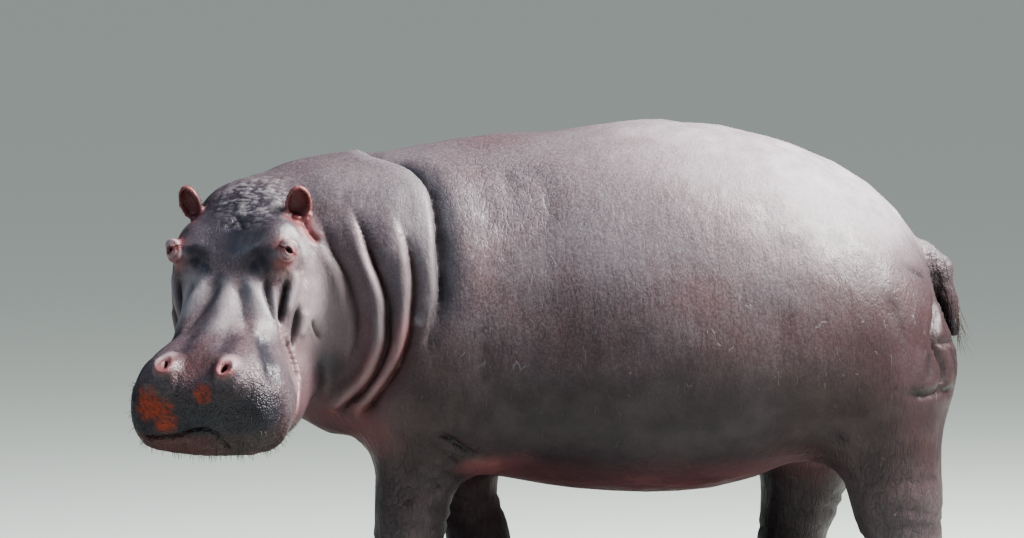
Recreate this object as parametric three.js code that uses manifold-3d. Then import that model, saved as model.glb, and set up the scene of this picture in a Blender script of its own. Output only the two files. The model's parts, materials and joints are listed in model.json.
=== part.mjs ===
// A common hippopotamus, life size, standing with its head turned to its left.
// Millimetres, +Z up. It faces -X, and its left side is towards -Y.
// The body is one field of softly joined masses, which is meshed region by region
// and parted with thin plane cuts into the pieces a person would name.
import * as THREE from "three";
import { mergeVertices } from "three/addons/utils/BufferGeometryUtils.js";
import Module from "manifold-3d";

const wasm = await Module();
wasm.setup();

// ---- Driving dimensions ----------------------------------------------------

const GAP = 0.4; // between pieces that touch
const TAIL_GAP = 1.5; // round the root of the tail, where both meshes curve
const SKIN = new THREE.MeshStandardMaterial({ color: 0x6e6468, roughness: 0.55, metalness: 0 });
const EYE_WET = new THREE.MeshStandardMaterial({ color: 0x2a1a12, roughness: 0.1, metalness: 0 });
const NAIL_HORN = new THREE.MeshStandardMaterial({ color: 0x4c423c, roughness: 0.5, metalness: 0 });

// Mesh cell of each region, fine where the shape is small.
const CELL = { trunk: 132, neck: 84, head: 50, leg: 70, foot: 43, tail: 20 };

// ---- Small maths -----------------------------------------------------------

const { clamp, lerp, degToRad } = THREE.MathUtils;
const deg = degToRad;

// A smooth line through knots [[x, value], ...], level beyond its ends.
function line(knots) {
  const last = knots.length - 1;
  const slope = knots.map(([x, v], i) => {
    const [xa, va] = knots[Math.max(i - 1, 0)];
    const [xb, vb] = knots[Math.min(i + 1, last)];
    return (vb - va) / (xb - xa);
  });
  return (x) => {
    if (x <= knots[0][0]) return knots[0][1];
    if (x >= knots[last][0]) return knots[last][1];
    let i = 0;
    while (x > knots[i + 1][0]) i++;
    const [xa, va] = knots[i];
    const [xb, vb] = knots[i + 1];
    const w = xb - xa;
    const t = (x - xa) / w;
    const s = 1 - t;
    return s * s * ((1 + 2 * t) * va + t * w * slope[i])
      + t * t * ((3 - 2 * t) * vb - s * w * slope[i + 1]);
  };
}

// ---- Fields: negative inside, about a distance in millimetres near the surface

// A rounded block with half sizes `size`, squarer as `power` grows, turned by `turn` (a quaternion).
function mass(at, size, power = 2, turn = null) {
  const back = turn ? turn.clone().invert() : null;
  const q = new THREE.Vector3();
  return (x, y, z) => {
    q.set(x - at[0], y - at[1], z - at[2]);
    if (back) q.applyQuaternion(back);
    const a = Math.abs(q.x) / size[0];
    const b = Math.abs(q.y) / size[1];
    const c = Math.abs(q.z) / size[2];
    const r = Math.pow(a ** power + b ** power + c ** power, 1 / power) + 1e-6;
    const g = power - 1;
    const slope = Math.hypot(a ** g / size[0], b ** g / size[1], c ** g / size[2]) / r ** g;
    return (r - 1) / (slope + 1e-6);
  };
}

// A tapering limb between two balls.
function limb(a, ra, b, rb) {
  const from = new THREE.Vector3(...a);
  const along = new THREE.Vector3(...b).sub(from);
  const length = along.lengthSq();
  return (x, y, z) => {
    const px = x - from.x;
    const py = y - from.y;
    const pz = z - from.z;
    const t = clamp((px * along.x + py * along.y + pz * along.z) / length, 0, 1);
    return Math.hypot(px - t * along.x, py - t * along.y, pz - t * along.z) - lerp(ra, rb, t);
  };
}

// Fields joined with a fillet of about `soft`.
function blend(soft, ...fields) {
  return (x, y, z) => {
    let d = fields[0](x, y, z);
    for (let i = 1; i < fields.length; i++) {
      const e = fields[i](x, y, z);
      const h = Math.max(soft - Math.abs(d - e), 0) / soft;
      d = Math.min(d, e) - h * h * soft * 0.25;
    }
    return d;
  };
}

// ---- Trunk -----------------------------------------------------------------

const CHEST_X = -610;
const RUMP_X = 1132;
const backLine = line([
  [-640, 1310], [-525, 1352], [-330, 1402], [-180, 1420], [-45, 1424], [120, 1446], [285, 1461],
  [420, 1452], [570, 1428], [720, 1377], [870, 1302], [1020, 1190], [1100, 1105], [1142, 1050],
]);
const bellyLine = line([
  [-640, 560], [-540, 480], [-420, 430], [-225, 398], [0, 362], [120, 350], [240, 345], [420, 353],
  [540, 380], [660, 425], [750, 462], [900, 520], [1020, 560], [1142, 600],
]);
const flankLine = line([
  [-640, 330], [-480, 400], [-300, 448], [-100, 490], [120, 535], [300, 552], [480, 545],
  [660, 512], [800, 468], [940, 400], [1060, 310], [1142, 220],
]);
const spineLine = line([[-640, -70], [-400, -25], [-100, 0], [1142, 0]]);
const END_REACH = { chest: 200, rump: 170 };
const TRUNK_SQUARE = 2.3; // 2 would be round
const BELLY_HEAVY = 0.13; // how much wider the flanks are low down than high up

function trunk(x, y, z) {
  const top = backLine(x);
  const bottom = bellyLine(x);
  const high = (top - bottom) / 2;
  const v = (z - (top + bottom) / 2) / high;
  const wide = flankLine(x) * (1 - BELLY_HEAVY * clamp(v, -1, 1));
  const u = Math.abs(y - spineLine(x)) / wide;
  const before = Math.max(CHEST_X + END_REACH.chest - x, 0) / END_REACH.chest;
  const behind = Math.max(x - RUMP_X + END_REACH.rump, 0) / END_REACH.rump;
  const reach = before > 0 ? END_REACH.chest : END_REACH.rump;
  const w = before + behind;
  const n = TRUNK_SQUARE;
  const r = Math.pow(u ** n + Math.abs(v) ** n + w ** n, 1 / n) + 1e-6;
  const g = n - 1;
  const slope = Math.hypot(u ** g / wide, Math.abs(v) ** g / high, w ** g / reach) / r ** g;
  return (r - 1) / (slope + 1e-6);
}

// A turn about Z, after a turn about Y.
function turned(y, z) {
  return new THREE.Quaternion().setFromEuler(new THREE.Euler(0, deg(y), deg(z), "ZYX"));
}

const shoulders = [-1, 1].map((side) => mass([-330, side * 310, 800], [200, 150, 370], 2, turned(-8, 0)));
const haunches = [-1, 1].map((side) => mass([895, side * 262, 760], [238, 175, 330]));
const buttocks = [-1, 1].map((side) => mass([1090, side * 105, 715], [82, 90, 105]));

// ---- Neck: rolls of skin around an axis that swings to the left -------------

const ROLLS = [
  { at: [-525, -75, 925], size: [140, 392, 428], yaw: 16 },
  { at: [-625, -110, 938], size: [120, 365, 414], yaw: 25 },
  { at: [-712, -150, 945], size: [118, 325, 402], yaw: 33 },
  { at: [-790, -195, 1000], size: [130, 262, 330], yaw: 42 },
];
const neck = blend(100, ...ROLLS.map(({ at, size, yaw }) => mass(at, size, 2.2, turned(0, yaw))));

// ---- Head: forward along the face, left, and up from between the eyes -------

const HEAD_AT = [-974, -482, 1062];
const HEAD_PITCH = 44; // the face's slope below level, in degrees
const HEAD_YAW = 72.7; // turned to the left from straight ahead, in degrees
const HEAD_ROLL = 1;
const forwardIsMinusX = new THREE.Matrix4().makeBasis(
  new THREE.Vector3(-1, 0, 0), new THREE.Vector3(0, -1, 0), new THREE.Vector3(0, 0, 1));
const headFrame = new THREE.Matrix4().makeTranslation(...HEAD_AT)
  .multiply(new THREE.Matrix4().makeRotationZ(deg(HEAD_YAW)))
  .multiply(forwardIsMinusX)
  .multiply(new THREE.Matrix4().makeRotationY(deg(HEAD_PITCH)))
  .multiply(new THREE.Matrix4().makeRotationX(deg(HEAD_ROLL)));
const toHead = headFrame.clone().invert();

// A field given in the head's own frame, the same on both sides, seen from the body's frame.
function onHead(field) {
  const e = toHead.elements;
  return (x, y, z) => field(
    e[0] * x + e[4] * y + e[8] * z + e[12],
    Math.abs(e[1] * x + e[5] * y + e[9] * z + e[13]),
    e[2] * x + e[6] * y + e[10] * z + e[14]);
}

const EYE = { from: [-62, 118, -20], towards: [0.42, 0.84, 0.34], radius: 23, sunk: 11 };
const NOSTRIL = { from: [436, 103, -12], towards: [0.62, 0.12, 0.78], size: [26, 15, 17] };
const MUZZLE_HALF_WIDTH = 216;
const EAR = {
  at: [-214, 171, 31], up: [-0.6, 0.2, 0.77], opens: [0.78, 0.32, 0.54], size: [37, 25, 51],
  wall: 8, stalk: { tip: 19, foot: 23, length: 70 },
};
const headField = onHead(blend(60,
  mass([-170, 0, -125], [225, 192, 160], 2.5), // skull
  mass([130, 0, -165], [330, 143, 124], 2.5), // snout
  mass([290, 0, -160], [115, 185, 112], 2.3), // where it widens
  mass([80, 0, -300], [300, 185, 150], 2.4), // palate
  mass([398, 0, -158], [130, MUZZLE_HALF_WIDTH, 150], 2.9), // muzzle
  mass([408, 166, -196], [124, 66, 98], 2.6), // lip over the tusk
  mass([-75, 138, -250], [190, 96, 225], 2.3), // cheek
  limb([-40, 112, -385], 98, [290, 128, -325], 86), // jaw
  mass([384, 0, -268], [116, 170, 70], 2.6), // chin
  blend(25, mass([-50, 136, -16], [66, 44, 52]), mass([-72, 112, -4], [70, 50, 44])), // eye socket
  mass([440, 103, -10], [46, 36, 30]))); // nostril mound

// ---- Legs ------------------------------------------------------------------

const SOLE_SINK = 16; // how far the pads would reach below the floor that flattens them
const ANKLE_Z = 150;
const LEGS = {
  foreleg_left: {
    hip: [-418, -250, 600], knee: [-440, -262, 320], foot: [-466, -265], thick: [160, 96, 92],
  },
  foreleg_right: {
    hip: [-350, 235, 600], knee: [-290, 242, 320], foot: [-245, 245], thick: [155, 84, 84],
  },
  hindleg_left: {
    hip: [950, -250, 640], knee: [1000, -268, 340], foot: [1022, -272], thick: [200, 120, 98],
  },
  hindleg_right: {
    hip: [800, 240, 640], knee: [738, 255, 350], foot: [695, 258], thick: [195, 112, 94],
  },
};
const TOES = [-58, -20, 20, 58].map(deg);
const TOE = { back: 46, reach: 100, spread: 92, width: 37 };
const TOE_TIP_Z = 36;
const NAIL = { size: [17, 26, 23], z: 27, back: 26 };

function legField({ hip, knee, foot, thick }) {
  return blend(80,
    limb(hip, thick[0], knee, thick[1]),
    limb(knee, thick[1], [foot[0] + 6, foot[1], ANKLE_Z], thick[2]));
}

function toeTip(foot, a) {
  return [foot[0] - TOE.reach * Math.cos(a), foot[1] + TOE.spread * Math.sin(a), TOE_TIP_Z];
}

function footField({ foot, thick }) {
  const pad = mass([foot[0], foot[1], 58], [112, 104, 58 + SOLE_SINK], 2.4);
  const ankle = limb([foot[0] + 6, foot[1], 200], thick[2], [foot[0] + 8, foot[1], 80], thick[2]);
  const toes = TOES.map((a) => limb(
    [foot[0] - TOE.back * Math.cos(a), foot[1] + 56 * Math.sin(a), 80], 44, toeTip(foot, a), TOE.width));
  return blend(26, blend(50, pad, ankle), ...toes);
}

// ---- Tail ------------------------------------------------------------------

const TAIL = { root: [1078, 4, 1044], bend: [1150, 0, 1006], mid: [1183, -2, 918], tip: [1198, -4, 820] };
const tail = blend(20,
  limb(TAIL.root, 58, TAIL.bend, 38),
  limb(TAIL.bend, 36, TAIL.mid, 27),
  limb(TAIL.mid, 27, TAIL.tip, 22));

// ---- The whole body as one field -------------------------------------------

const legs = Object.values(LEGS).map((leg) => blend(40, legField(leg), footField(leg)));
const torso = blend(110, blend(150, blend(60, trunk, ...buttocks), ...shoulders, ...haunches), neck);
const body = blend(45, blend(70, torso, ...legs), headField);

// The point where a line from inside the head leaves the body, less a depth, in the head's frame.
function onSkin(from, towards, depth) {
  const step = new THREE.Vector3(...towards).normalize();
  const at = new THREE.Vector3(...from);
  const world = at.clone().applyMatrix4(headFrame);
  while (body(world.x, world.y, world.z) < 0) {
    at.add(step);
    world.copy(at).applyMatrix4(headFrame);
  }
  return at.addScaledVector(step, -depth).toArray();
}

// ---- Meshing: one vertex in each cell that the surface crosses --------------

function gridMesh(field, low, high, cell, frame = new THREE.Matrix4()) {
  const n = [0, 1, 2].map((k) => Math.ceil((high[k] - low[k]) / cell) + 1);
  const p = new THREE.Vector3();
  const at = (i, j, k) => p.set(low[0] + i * cell, low[1] + j * cell, low[2] + k * cell)
    .applyMatrix4(frame);
  const inBox = (i, j, k) => i > 0 && j > 0 && k > 0 && i < n[0] - 1 && j < n[1] - 1 && k < n[2] - 1;
  const index = (i, j, k) => i + n[0] * (j + n[1] * k);
  const value = new Float64Array(n[0] * n[1] * n[2]);
  for (let k = 0; k < n[2]; k++)
    for (let j = 0; j < n[1]; j++)
      for (let i = 0; i < n[0]; i++) {
        at(i, j, k);
        const d = field(p.x, p.y, p.z);
        value[index(i, j, k)] = inBox(i, j, k) ? d : Math.max(d, 0.3 * cell);
      }
  unknot(value, n);
  const vertexOf = new Map();
  const points = [];
  for (let k = 0; k < n[2] - 1; k++)
    for (let j = 0; j < n[1] - 1; j++)
      for (let i = 0; i < n[0] - 1; i++) {
        const corner = (c) => value[index(i + (c & 1), j + ((c >> 1) & 1), k + ((c >> 2) & 1))];
        const sum = new THREE.Vector3();
        let crossings = 0;
        for (let a = 0; a < 8; a++)
          for (let bit = 1; bit < 8; bit <<= 1) {
            if (a & bit) continue;
            const b = a | bit;
            const va = corner(a);
            const vb = corner(b);
            if (va < 0 === vb < 0) continue;
            const t = va / (va - vb);
            const start = new THREE.Vector3(a & 1, (a >> 1) & 1, (a >> 2) & 1);
            const end = new THREE.Vector3(b & 1, (b >> 1) & 1, (b >> 2) & 1);
            sum.add(start.lerp(end, t));
            crossings++;
          }
        if (!crossings) continue;
        sum.divideScalar(crossings).add(new THREE.Vector3(i, j, k));
        at(sum.x, sum.y, sum.z);
        settle(field, p, cell);
        vertexOf.set(index(i, j, k), points.length / 3);
        points.push(p.x, p.y, p.z);
      }
  const faces = [];
  const side = [1, n[0], n[0] * n[1]];
  for (let k = 0; k < n[2] - 1; k++)
    for (let j = 0; j < n[1] - 1; j++)
      for (let i = 0; i < n[0] - 1; i++)
        for (let axis = 0; axis < 3; axis++) {
          const here = index(i, j, k);
          const inside = value[here] < 0;
          if (inside === value[here + side[axis]] < 0) continue;
          const u = side[(axis + 1) % 3];
          const v = side[(axis + 2) % 3];
          const [a, b, c, d] = [here - u - v, here - v, here, here - u].map((m) => vertexOf.get(m));
          if (inside) faces.push(a, b, c, a, c, d);
          else faces.push(a, c, b, a, d, c);
        }
  const made = new THREE.BufferGeometry();
  made.setAttribute("position", new THREE.Float32BufferAttribute(points, 3));
  made.setIndex(faces);
  return made;
}

// Where a cell's side has its inside corners only across a diagonal, the mesh would touch itself
// along an edge: the outside corner nearest the surface is let in.
function unknot(value, n) {
  const side = [1, n[0], n[0] * n[1]];
  let changed = true;
  while (changed) {
    changed = false;
    for (let k = 0; k < n[2] - 1; k++)
      for (let j = 0; j < n[1] - 1; j++)
        for (let i = 0; i < n[0] - 1; i++)
          for (let axis = 0; axis < 3; axis++) {
            const a = i + n[0] * (j + n[1] * k);
            const b = a + side[(axis + 1) % 3];
            const d = a + side[(axis + 2) % 3];
            const c = b + side[(axis + 2) % 3];
            const out = [a, b, c, d].map((m) => value[m] >= 0);
            if (out[0] !== out[2] || out[1] !== out[3] || out[0] === out[1]) continue;
            const [p, q] = out[0] ? [a, c] : [b, d];
            value[value[p] < value[q] ? p : q] = -0.01;
            changed = true;
          }
  }
}

// Moves a point onto the field's surface along the field's own slope.
function settle(field, p, cell) {
  const e = 1;
  const most = 0.35 * cell;
  for (let step = 0; step < 4; step++) {
    const d = field(p.x, p.y, p.z);
    const g = new THREE.Vector3(
      field(p.x + e, p.y, p.z) - field(p.x - e, p.y, p.z),
      field(p.x, p.y + e, p.z) - field(p.x, p.y - e, p.z),
      field(p.x, p.y, p.z + e) - field(p.x, p.y, p.z - e)).divideScalar(2 * e);
    const move = -d / Math.max(g.lengthSq(), 0.05);
    p.addScaledVector(g, clamp(move, -most, most));
  }
}

// ---- Solids ----------------------------------------------------------------

function solid(geometry) {
  const bare = new THREE.BufferGeometry();
  bare.setAttribute("position", geometry.getAttribute("position").clone());
  if (geometry.index) bare.setIndex(geometry.index.clone());
  const merged = mergeVertices(bare, 1e-3);
  return new wasm.Manifold(new wasm.Mesh({
    numProp: 3,
    vertProperties: new Float32Array(merged.attributes.position.array),
    triVerts: new Uint32Array(merged.index.array),
  }));
}

function shapeOf(made) {
  const mesh = made.getMesh();
  const shape = new THREE.BufferGeometry();
  const points = new Float32Array(mesh.vertProperties);
  shape.setAttribute("position", new THREE.BufferAttribute(points, 3));
  shape.setIndex(new THREE.BufferAttribute(new Uint32Array(mesh.triVerts), 1));
  return shape;
}

const whole = new THREE.Group();
function add(name, made, material) {
  const shape = shapeOf(made);
  shape.computeVertexNormals();
  const mesh = new THREE.Mesh(shape, material);
  mesh.name = name;
  whole.add(mesh);
}

const UNTURNED = new THREE.Matrix4();
const region = (low, high, cell, frame = UNTURNED) => solid(gridMesh(body, low, high, cell, frame));

// A box between two corners in a frame, to cut with.
function block(low, high, frame = UNTURNED) {
  const size = low.map((v, k) => high[k] - v);
  const box = new THREE.BoxGeometry(...size);
  box.translate(...low.map((v, k) => (v + high[k]) / 2)).applyMatrix4(frame);
  return solid(box);
}

// An ellipsoid, to cut with or to keep.
function egg(at, size, across, down, frame = UNTURNED) {
  const ball = new THREE.SphereGeometry(1, across, down);
  ball.scale(...size).translate(...at).applyMatrix4(frame);
  return solid(ball);
}

const grown = (size, by) => size.map((v) => v + by);
const mirrored = ([x, y, z], side) => [x, side * y, z];

// ---- Where the body is parted ----------------------------------------------

const BIG = 3000;
// In these two frames, +X is the side away from the head.
const neckCut = new THREE.Matrix4().makeTranslation(-512, -60, 925)
  .multiply(new THREE.Matrix4().makeRotationZ(deg(20)))
  .multiply(new THREE.Matrix4().makeRotationY(deg(-4)));
const headCut = headFrame.clone()
  .multiply(new THREE.Matrix4().makeTranslation(-345, 0, 60))
  .multiply(new THREE.Matrix4().makeRotationY(deg(-19)))
  .multiply(new THREE.Matrix4().makeRotationZ(Math.PI));
const ahead = (frame, by) => block([-BIG, -BIG, -BIG], [-by, BIG, BIG], frame);
const behind = (frame, by) => block([by, -BIG, -BIG], [BIG, BIG, BIG], frame);
const HEAD_SIDE = 268; // the cut beside the cheek, where the neck's rolls press against it
const headBlock = (by) => block([-BIG, -HEAD_SIDE - by, -BIG], [by, BIG, BIG], headCut);
const JAW_LOW = [60, -176, -700];
const JAW_HIGH = [700, 176, -262];

const LEG_EGG = {
  foreleg_left: { at: [-420, -330, 290], size: [238, 275, 420] },
  foreleg_right: { at: [-320, 330, 290], size: [232, 275, 420] },
  hindleg_left: { at: [985, -330, 320], size: [250, 275, 450] },
  hindleg_right: { at: [755, 330, 320], size: [245, 275, 450] },
};
const tailGrown = (by) => solid(gridMesh(
  (x, y, z) => tail(x, y, z) - by, [980, -130, 730], [1330, 130, 1160], CELL.tail));

// ---- Nodes -----------------------------------------------------------------

const legEgg = (name, by) => egg(LEG_EGG[name].at, grown(LEG_EGG[name].size, by), 11, 7);
const allLegEggs = wasm.Manifold.union(Object.keys(LEGS).map((name) => legEgg(name, GAP)));
const restPiece = (made) => made.decompose().sort((a, b) => b.volume() - a.volume())[0];

add("trunk", restPiece(region([-800, -700, 250], [1290, 700, 1560], CELL.trunk)
  .intersect(behind(neckCut, GAP / 2)).subtract(allLegEggs).subtract(tailGrown(TAIL_GAP))), SKIN);
add("neck", restPiece(region([-1250, -760, 400], [-200, 520, 1460], CELL.neck)
  .intersect(ahead(neckCut, GAP / 2)).subtract(headBlock(GAP / 2)).subtract(allLegEggs)), SKIN);
add("tail", restPiece(tailGrown(0)), SKIN);

const eyeAt = onSkin(EYE.from, EYE.towards, EYE.sunk);
const eyeBall = (side, by) => egg(mirrored(eyeAt, side), Array(3).fill(EYE.radius + by), 9, 6, headFrame);
const nostrilAt = onSkin(NOSTRIL.from, NOSTRIL.towards, 1);
const nostril = (side) => egg(mirrored(nostrilAt, side), NOSTRIL.size, 7, 5, headFrame);
const jawBox = (by) => block(grown(JAW_LOW, -by), grown(JAW_HIGH, by), headFrame);

// An ear: a cup on a short stalk. Its frame has +Y out of the cup and +Z to the tip.
function earFrame(side) {
  const up = new THREE.Vector3(...mirrored(EAR.up, side)).normalize();
  const front = new THREE.Vector3(...mirrored(EAR.opens, side));
  const across = front.cross(up).normalize();
  const opens = new THREE.Vector3().crossVectors(up, across);
  return headFrame.clone()
    .multiply(new THREE.Matrix4().makeTranslation(...mirrored(EAR.at, side)))
    .multiply(new THREE.Matrix4().makeBasis(across, opens, up));
}

function earOuter(side, by) {
  const [wide, deep, tall] = grown(EAR.size, by);
  const frame = earFrame(side);
  const { tip, foot, length } = EAR.stalk;
  const stalk = new THREE.CylinderGeometry(tip + by, foot + by, length + 2 * by, 7, 1);
  stalk.rotateX(Math.PI / 2).translate(0, -6, -48).applyMatrix4(frame);
  return egg([0, 0, 0], [wide, deep, tall], 10, 7, frame).add(solid(stalk));
}

function ear(side) {
  const frame = earFrame(side);
  const bowl = egg([0, 7, 2], grown(EAR.size, -EAR.wall), 9, 6, frame);
  const front = block([-90, 6, -38], [90, 90, 90], frame);
  return restPiece(earOuter(side, 0).subtract(bowl).subtract(front));
}

let head = region([-560, -345, -640], [660, 345, 140], CELL.head, headFrame).intersect(headBlock(-GAP / 2));
const jaw = restPiece(head.intersect(jawBox(-GAP / 2)));
head = head.subtract(jawBox(GAP / 2));
for (const side of [-1, 1]) {
  head = head.subtract(eyeBall(side, GAP)).subtract(nostril(side)).subtract(earOuter(side, GAP));
}
add("head", restPiece(head), SKIN);
add("lower_jaw", jaw, SKIN);
for (const [name, side] of [["left", 1], ["right", -1]]) {
  add(`eye_${name}`, eyeBall(side, 0), EYE_WET);
  add(`ear_${name}`, ear(side), SKIN);
}

// A nail on the front of a toe.
function nail({ foot }, a) {
  const [x, y] = toeTip(foot, a);
  const frame = new THREE.Matrix4().makeTranslation(x, y, NAIL.z)
    .multiply(new THREE.Matrix4().makeRotationZ(-a));
  return egg([-NAIL.back, 0, 0], NAIL.size, 5, 4, frame);
}

for (const [name, leg] of Object.entries(LEGS)) {
  const { at, size } = LEG_EGG[name];
  const low = at.map((v, k) => v - size[k] - 50);
  const high = at.map((v, k) => v + size[k] + 50);
  const made = region(low, high, CELL.leg).intersect(legEgg(name, 0));
  add(name, restPiece(made.intersect(block([-BIG, -BIG, ANKLE_Z + GAP / 2], [BIG, BIG, BIG]))), SKIN);
  const [fx, fy] = leg.foot;
  const foot = region([fx - 190, fy - 190, -60], [fx + 190, fy + 190, 230], CELL.foot);
  const bare = restPiece(foot.intersect(block([-BIG, -BIG, 0], [BIG, BIG, ANKLE_Z - GAP / 2])));
  add(name.replace("leg", "foot"), bare, SKIN);
  // Each nail is hollowed by its toe, then stands off it by the gap.
  TOES.forEach((a, i) => {
    const off = [-GAP * Math.cos(a), GAP * Math.sin(a), 0];
    const horn = restPiece(nail(leg, a).subtract(bare)).translate(off);
    add(`${name.replace("leg", "nail")}_${i + 1}`, horn, NAIL_HORN);
  });
}

// The group's origin is the middle of its own footprint, on the floor.
const room = new THREE.Box3().setFromObject(whole);
const middle = room.getCenter(new THREE.Vector3());
whole.position.set(-middle.x, -middle.y, -room.min.z);

export default whole;
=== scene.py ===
"""A life-size hippopotamus, standing with its head turned to its left.

Metres, +Z up, facing -X, its left side towards -Y. One skin is made from the flesh nodes and
two modelled ears, then folded, wrinkled and marked by functions of place. The eyeballs, the
nails and the bristles are pieces of their own.
"""
import json
import math

import bmesh
import bpy
import numpy as np
from mathutils import Matrix, Vector
from mathutils.bvhtree import BVHTree


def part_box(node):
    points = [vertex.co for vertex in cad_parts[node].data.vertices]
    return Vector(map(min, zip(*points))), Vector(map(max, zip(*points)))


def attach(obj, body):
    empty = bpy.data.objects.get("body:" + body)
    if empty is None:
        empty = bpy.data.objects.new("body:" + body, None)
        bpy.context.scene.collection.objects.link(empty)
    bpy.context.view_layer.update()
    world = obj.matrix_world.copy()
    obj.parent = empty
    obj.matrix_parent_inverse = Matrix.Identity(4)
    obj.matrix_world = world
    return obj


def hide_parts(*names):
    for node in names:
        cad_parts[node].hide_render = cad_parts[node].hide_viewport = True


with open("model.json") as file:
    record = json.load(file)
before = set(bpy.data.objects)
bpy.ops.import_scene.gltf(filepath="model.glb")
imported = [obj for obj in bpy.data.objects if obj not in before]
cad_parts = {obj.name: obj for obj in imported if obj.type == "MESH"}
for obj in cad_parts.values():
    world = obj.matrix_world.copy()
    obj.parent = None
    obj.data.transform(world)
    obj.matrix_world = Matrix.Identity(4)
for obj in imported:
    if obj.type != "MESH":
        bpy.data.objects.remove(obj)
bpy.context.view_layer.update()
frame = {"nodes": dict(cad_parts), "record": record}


# ---- Sizes, in metres -------------------------------------------------------

MM = 0.001
COARSE_VOXEL = 14 * MM  # of the flesh alone, which is then smoothed
FINE_VOXEL = 6 * MM  # with the ears on it
EYE_RADIUS = 23 * MM
HEAD_DOWN = math.radians(44)  # the slope of the face below level
LEFT, RIGHT = 1, -1
SIDES = (("left", LEFT), ("right", RIGHT))

NODES = frame["nodes"]
FLESH = [name for name in NODES if not name.startswith("eye") and "nail" not in name]
LEGS = ["foreleg_left", "foreleg_right", "hindleg_left", "hindleg_right"]


# ---- Small helpers ----------------------------------------------------------

def in_mm(*sizes):
    return tuple(size * MM for size in sizes)


def select_only(*objects):
    bpy.ops.object.select_all(action="DESELECT")
    for o in objects:
        o.select_set(True)
    bpy.context.view_layer.objects.active = objects[0]


def apply_modifier(obj, kind, **settings):
    select_only(obj)
    mod = obj.modifiers.new(kind.title(), kind)
    for key, value in settings.items():
        setattr(mod, key, value)
    bpy.ops.object.modifier_apply(modifier=mod.name)


def coordinates(obj):
    co = np.empty(len(obj.data.vertices) * 3)
    obj.data.vertices.foreach_get("co", co)
    return co.reshape(-1, 3)


def set_coordinates(obj, co):
    obj.data.vertices.foreach_set("co", co.ravel())
    obj.data.update()


def normals(obj):
    n = np.empty(len(obj.data.vertices) * 3)
    obj.data.vertices.foreach_get("normal", n)
    return n.reshape(-1, 3)


def unit(v):
    return v / np.maximum(np.linalg.norm(v, axis=-1, keepdims=True), 1e-12)


def smooth_step(x, low, high):
    t = np.clip((x - low) / (high - low), 0, 1)
    return t * t * (3 - 2 * t)


def hill(x, width):
    """A rounded hill, 1 at the middle and small beyond twice its width."""
    return np.exp(-0.5 * (x / width) ** 2)


def box_of(*names):
    boxes = [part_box(n) for n in names]
    low = np.min([b[0] for b in boxes], axis=0)
    high = np.max([b[1] for b in boxes], axis=0)
    return low, high


def middle_of(*names):
    low, high = box_of(*names)
    return (low + high) / 2


def soft_noise(p, size, seed):
    """Smooth random waves about `size` across, between -1 and 1."""
    table = np.random.default_rng(seed).uniform(-1, 1, (32, 32, 32))
    q = p / size + 100
    low = np.floor(q).astype(np.int64)
    f = q - low
    f = f * f * (3 - 2 * f)
    total = np.zeros(len(p))
    for corner in range(8):
        step = np.array([corner & 1, corner >> 1 & 1, corner >> 2 & 1])
        share = np.where(step, f, 1 - f).prod(axis=1)
        i, j, k = ((low + step) % 32).T
        total += share * table[i, j, k]
    return total


# ---- The head's own frame: forward along the face, left, and up --------------

eye_left, eye_right = middle_of("eye_left"), middle_of("eye_right")
to_left = unit(eye_left - eye_right)
level = unit(np.cross(to_left, (0, 0, 1)))
above = np.cross(level, to_left)
to_front = math.cos(HEAD_DOWN) * level - math.sin(HEAD_DOWN) * above
to_top = math.sin(HEAD_DOWN) * level + math.cos(HEAD_DOWN) * above
HEAD_AXES = np.array([to_front, to_left, to_top])
EYES_AT = np.array([-0.036, 0.171, 0.001])  # the left eyeball's middle in the head's frame
HEAD_ORIGIN = (eye_left + eye_right) / 2 - (EYES_AT * (1, 0, 1)) @ HEAD_AXES


def from_head(points, side=LEFT):
    """A point or points given forward, outward to one side and up, as places in the scene."""
    return HEAD_ORIGIN + (np.array(points) * (1, side, 1)) @ HEAD_AXES


def to_head(points):
    return (points - HEAD_ORIGIN) @ HEAD_AXES.T


def head_direction(d, side=LEFT):
    return unit((np.array(d) * (1, side, 1)) @ HEAD_AXES)


# ---- The skin's base: the flesh nodes made one ------------------------------

def copy_of(node, swell):
    """A merged copy of a CAD node, grown along its own normals."""
    made = NODES[node].copy()
    made.data = NODES[node].data.copy()
    made.name = f"copy_{node}"
    for key in list(made.keys()):
        del made[key]
    bpy.context.scene.collection.objects.link(made)
    made.parent = None
    select_only(made)
    bpy.ops.object.mode_set(mode="EDIT")
    bpy.ops.mesh.select_all(action="SELECT")
    bpy.ops.mesh.remove_doubles(threshold=1e-6)
    bpy.ops.object.mode_set(mode="OBJECT")
    set_coordinates(made, coordinates(made) + swell * normals(made))
    return made


def joined(objects):
    select_only(*objects)
    bpy.ops.object.join()
    return bpy.context.object


def edge_array(obj):
    edges = np.empty(len(obj.data.edges) * 2, np.int64)
    obj.data.edges.foreach_get("vertices", edges)
    return edges.reshape(-1, 2)


class Smoother:
    """Repeated averaging with the neighbours, by a weight of its own at each vertex."""

    def __init__(self, obj):
        a, b = edge_array(obj).T
        self.count = len(obj.data.vertices)
        self.a = np.concatenate([a, b])
        self.b = np.concatenate([b, a])
        self.degree = np.maximum(np.bincount(self.a, minlength=self.count), 1)

    def mean(self, values):
        return np.stack([
            np.bincount(self.a, weights=values[self.b, k], minlength=self.count)
            for k in range(values.shape[1])
        ], axis=1) / self.degree[:, None]

    def run(self, values, weight, times):
        for _ in range(times):
            values = values + weight[:, None] * (self.mean(values) - values)
        return values

    def keep_size(self, values, weight, times):
        """As run, but what it takes off broad curves is put back."""
        soft = self.run(values, weight, times)
        return soft + self.run(values - soft, weight, times)


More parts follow.
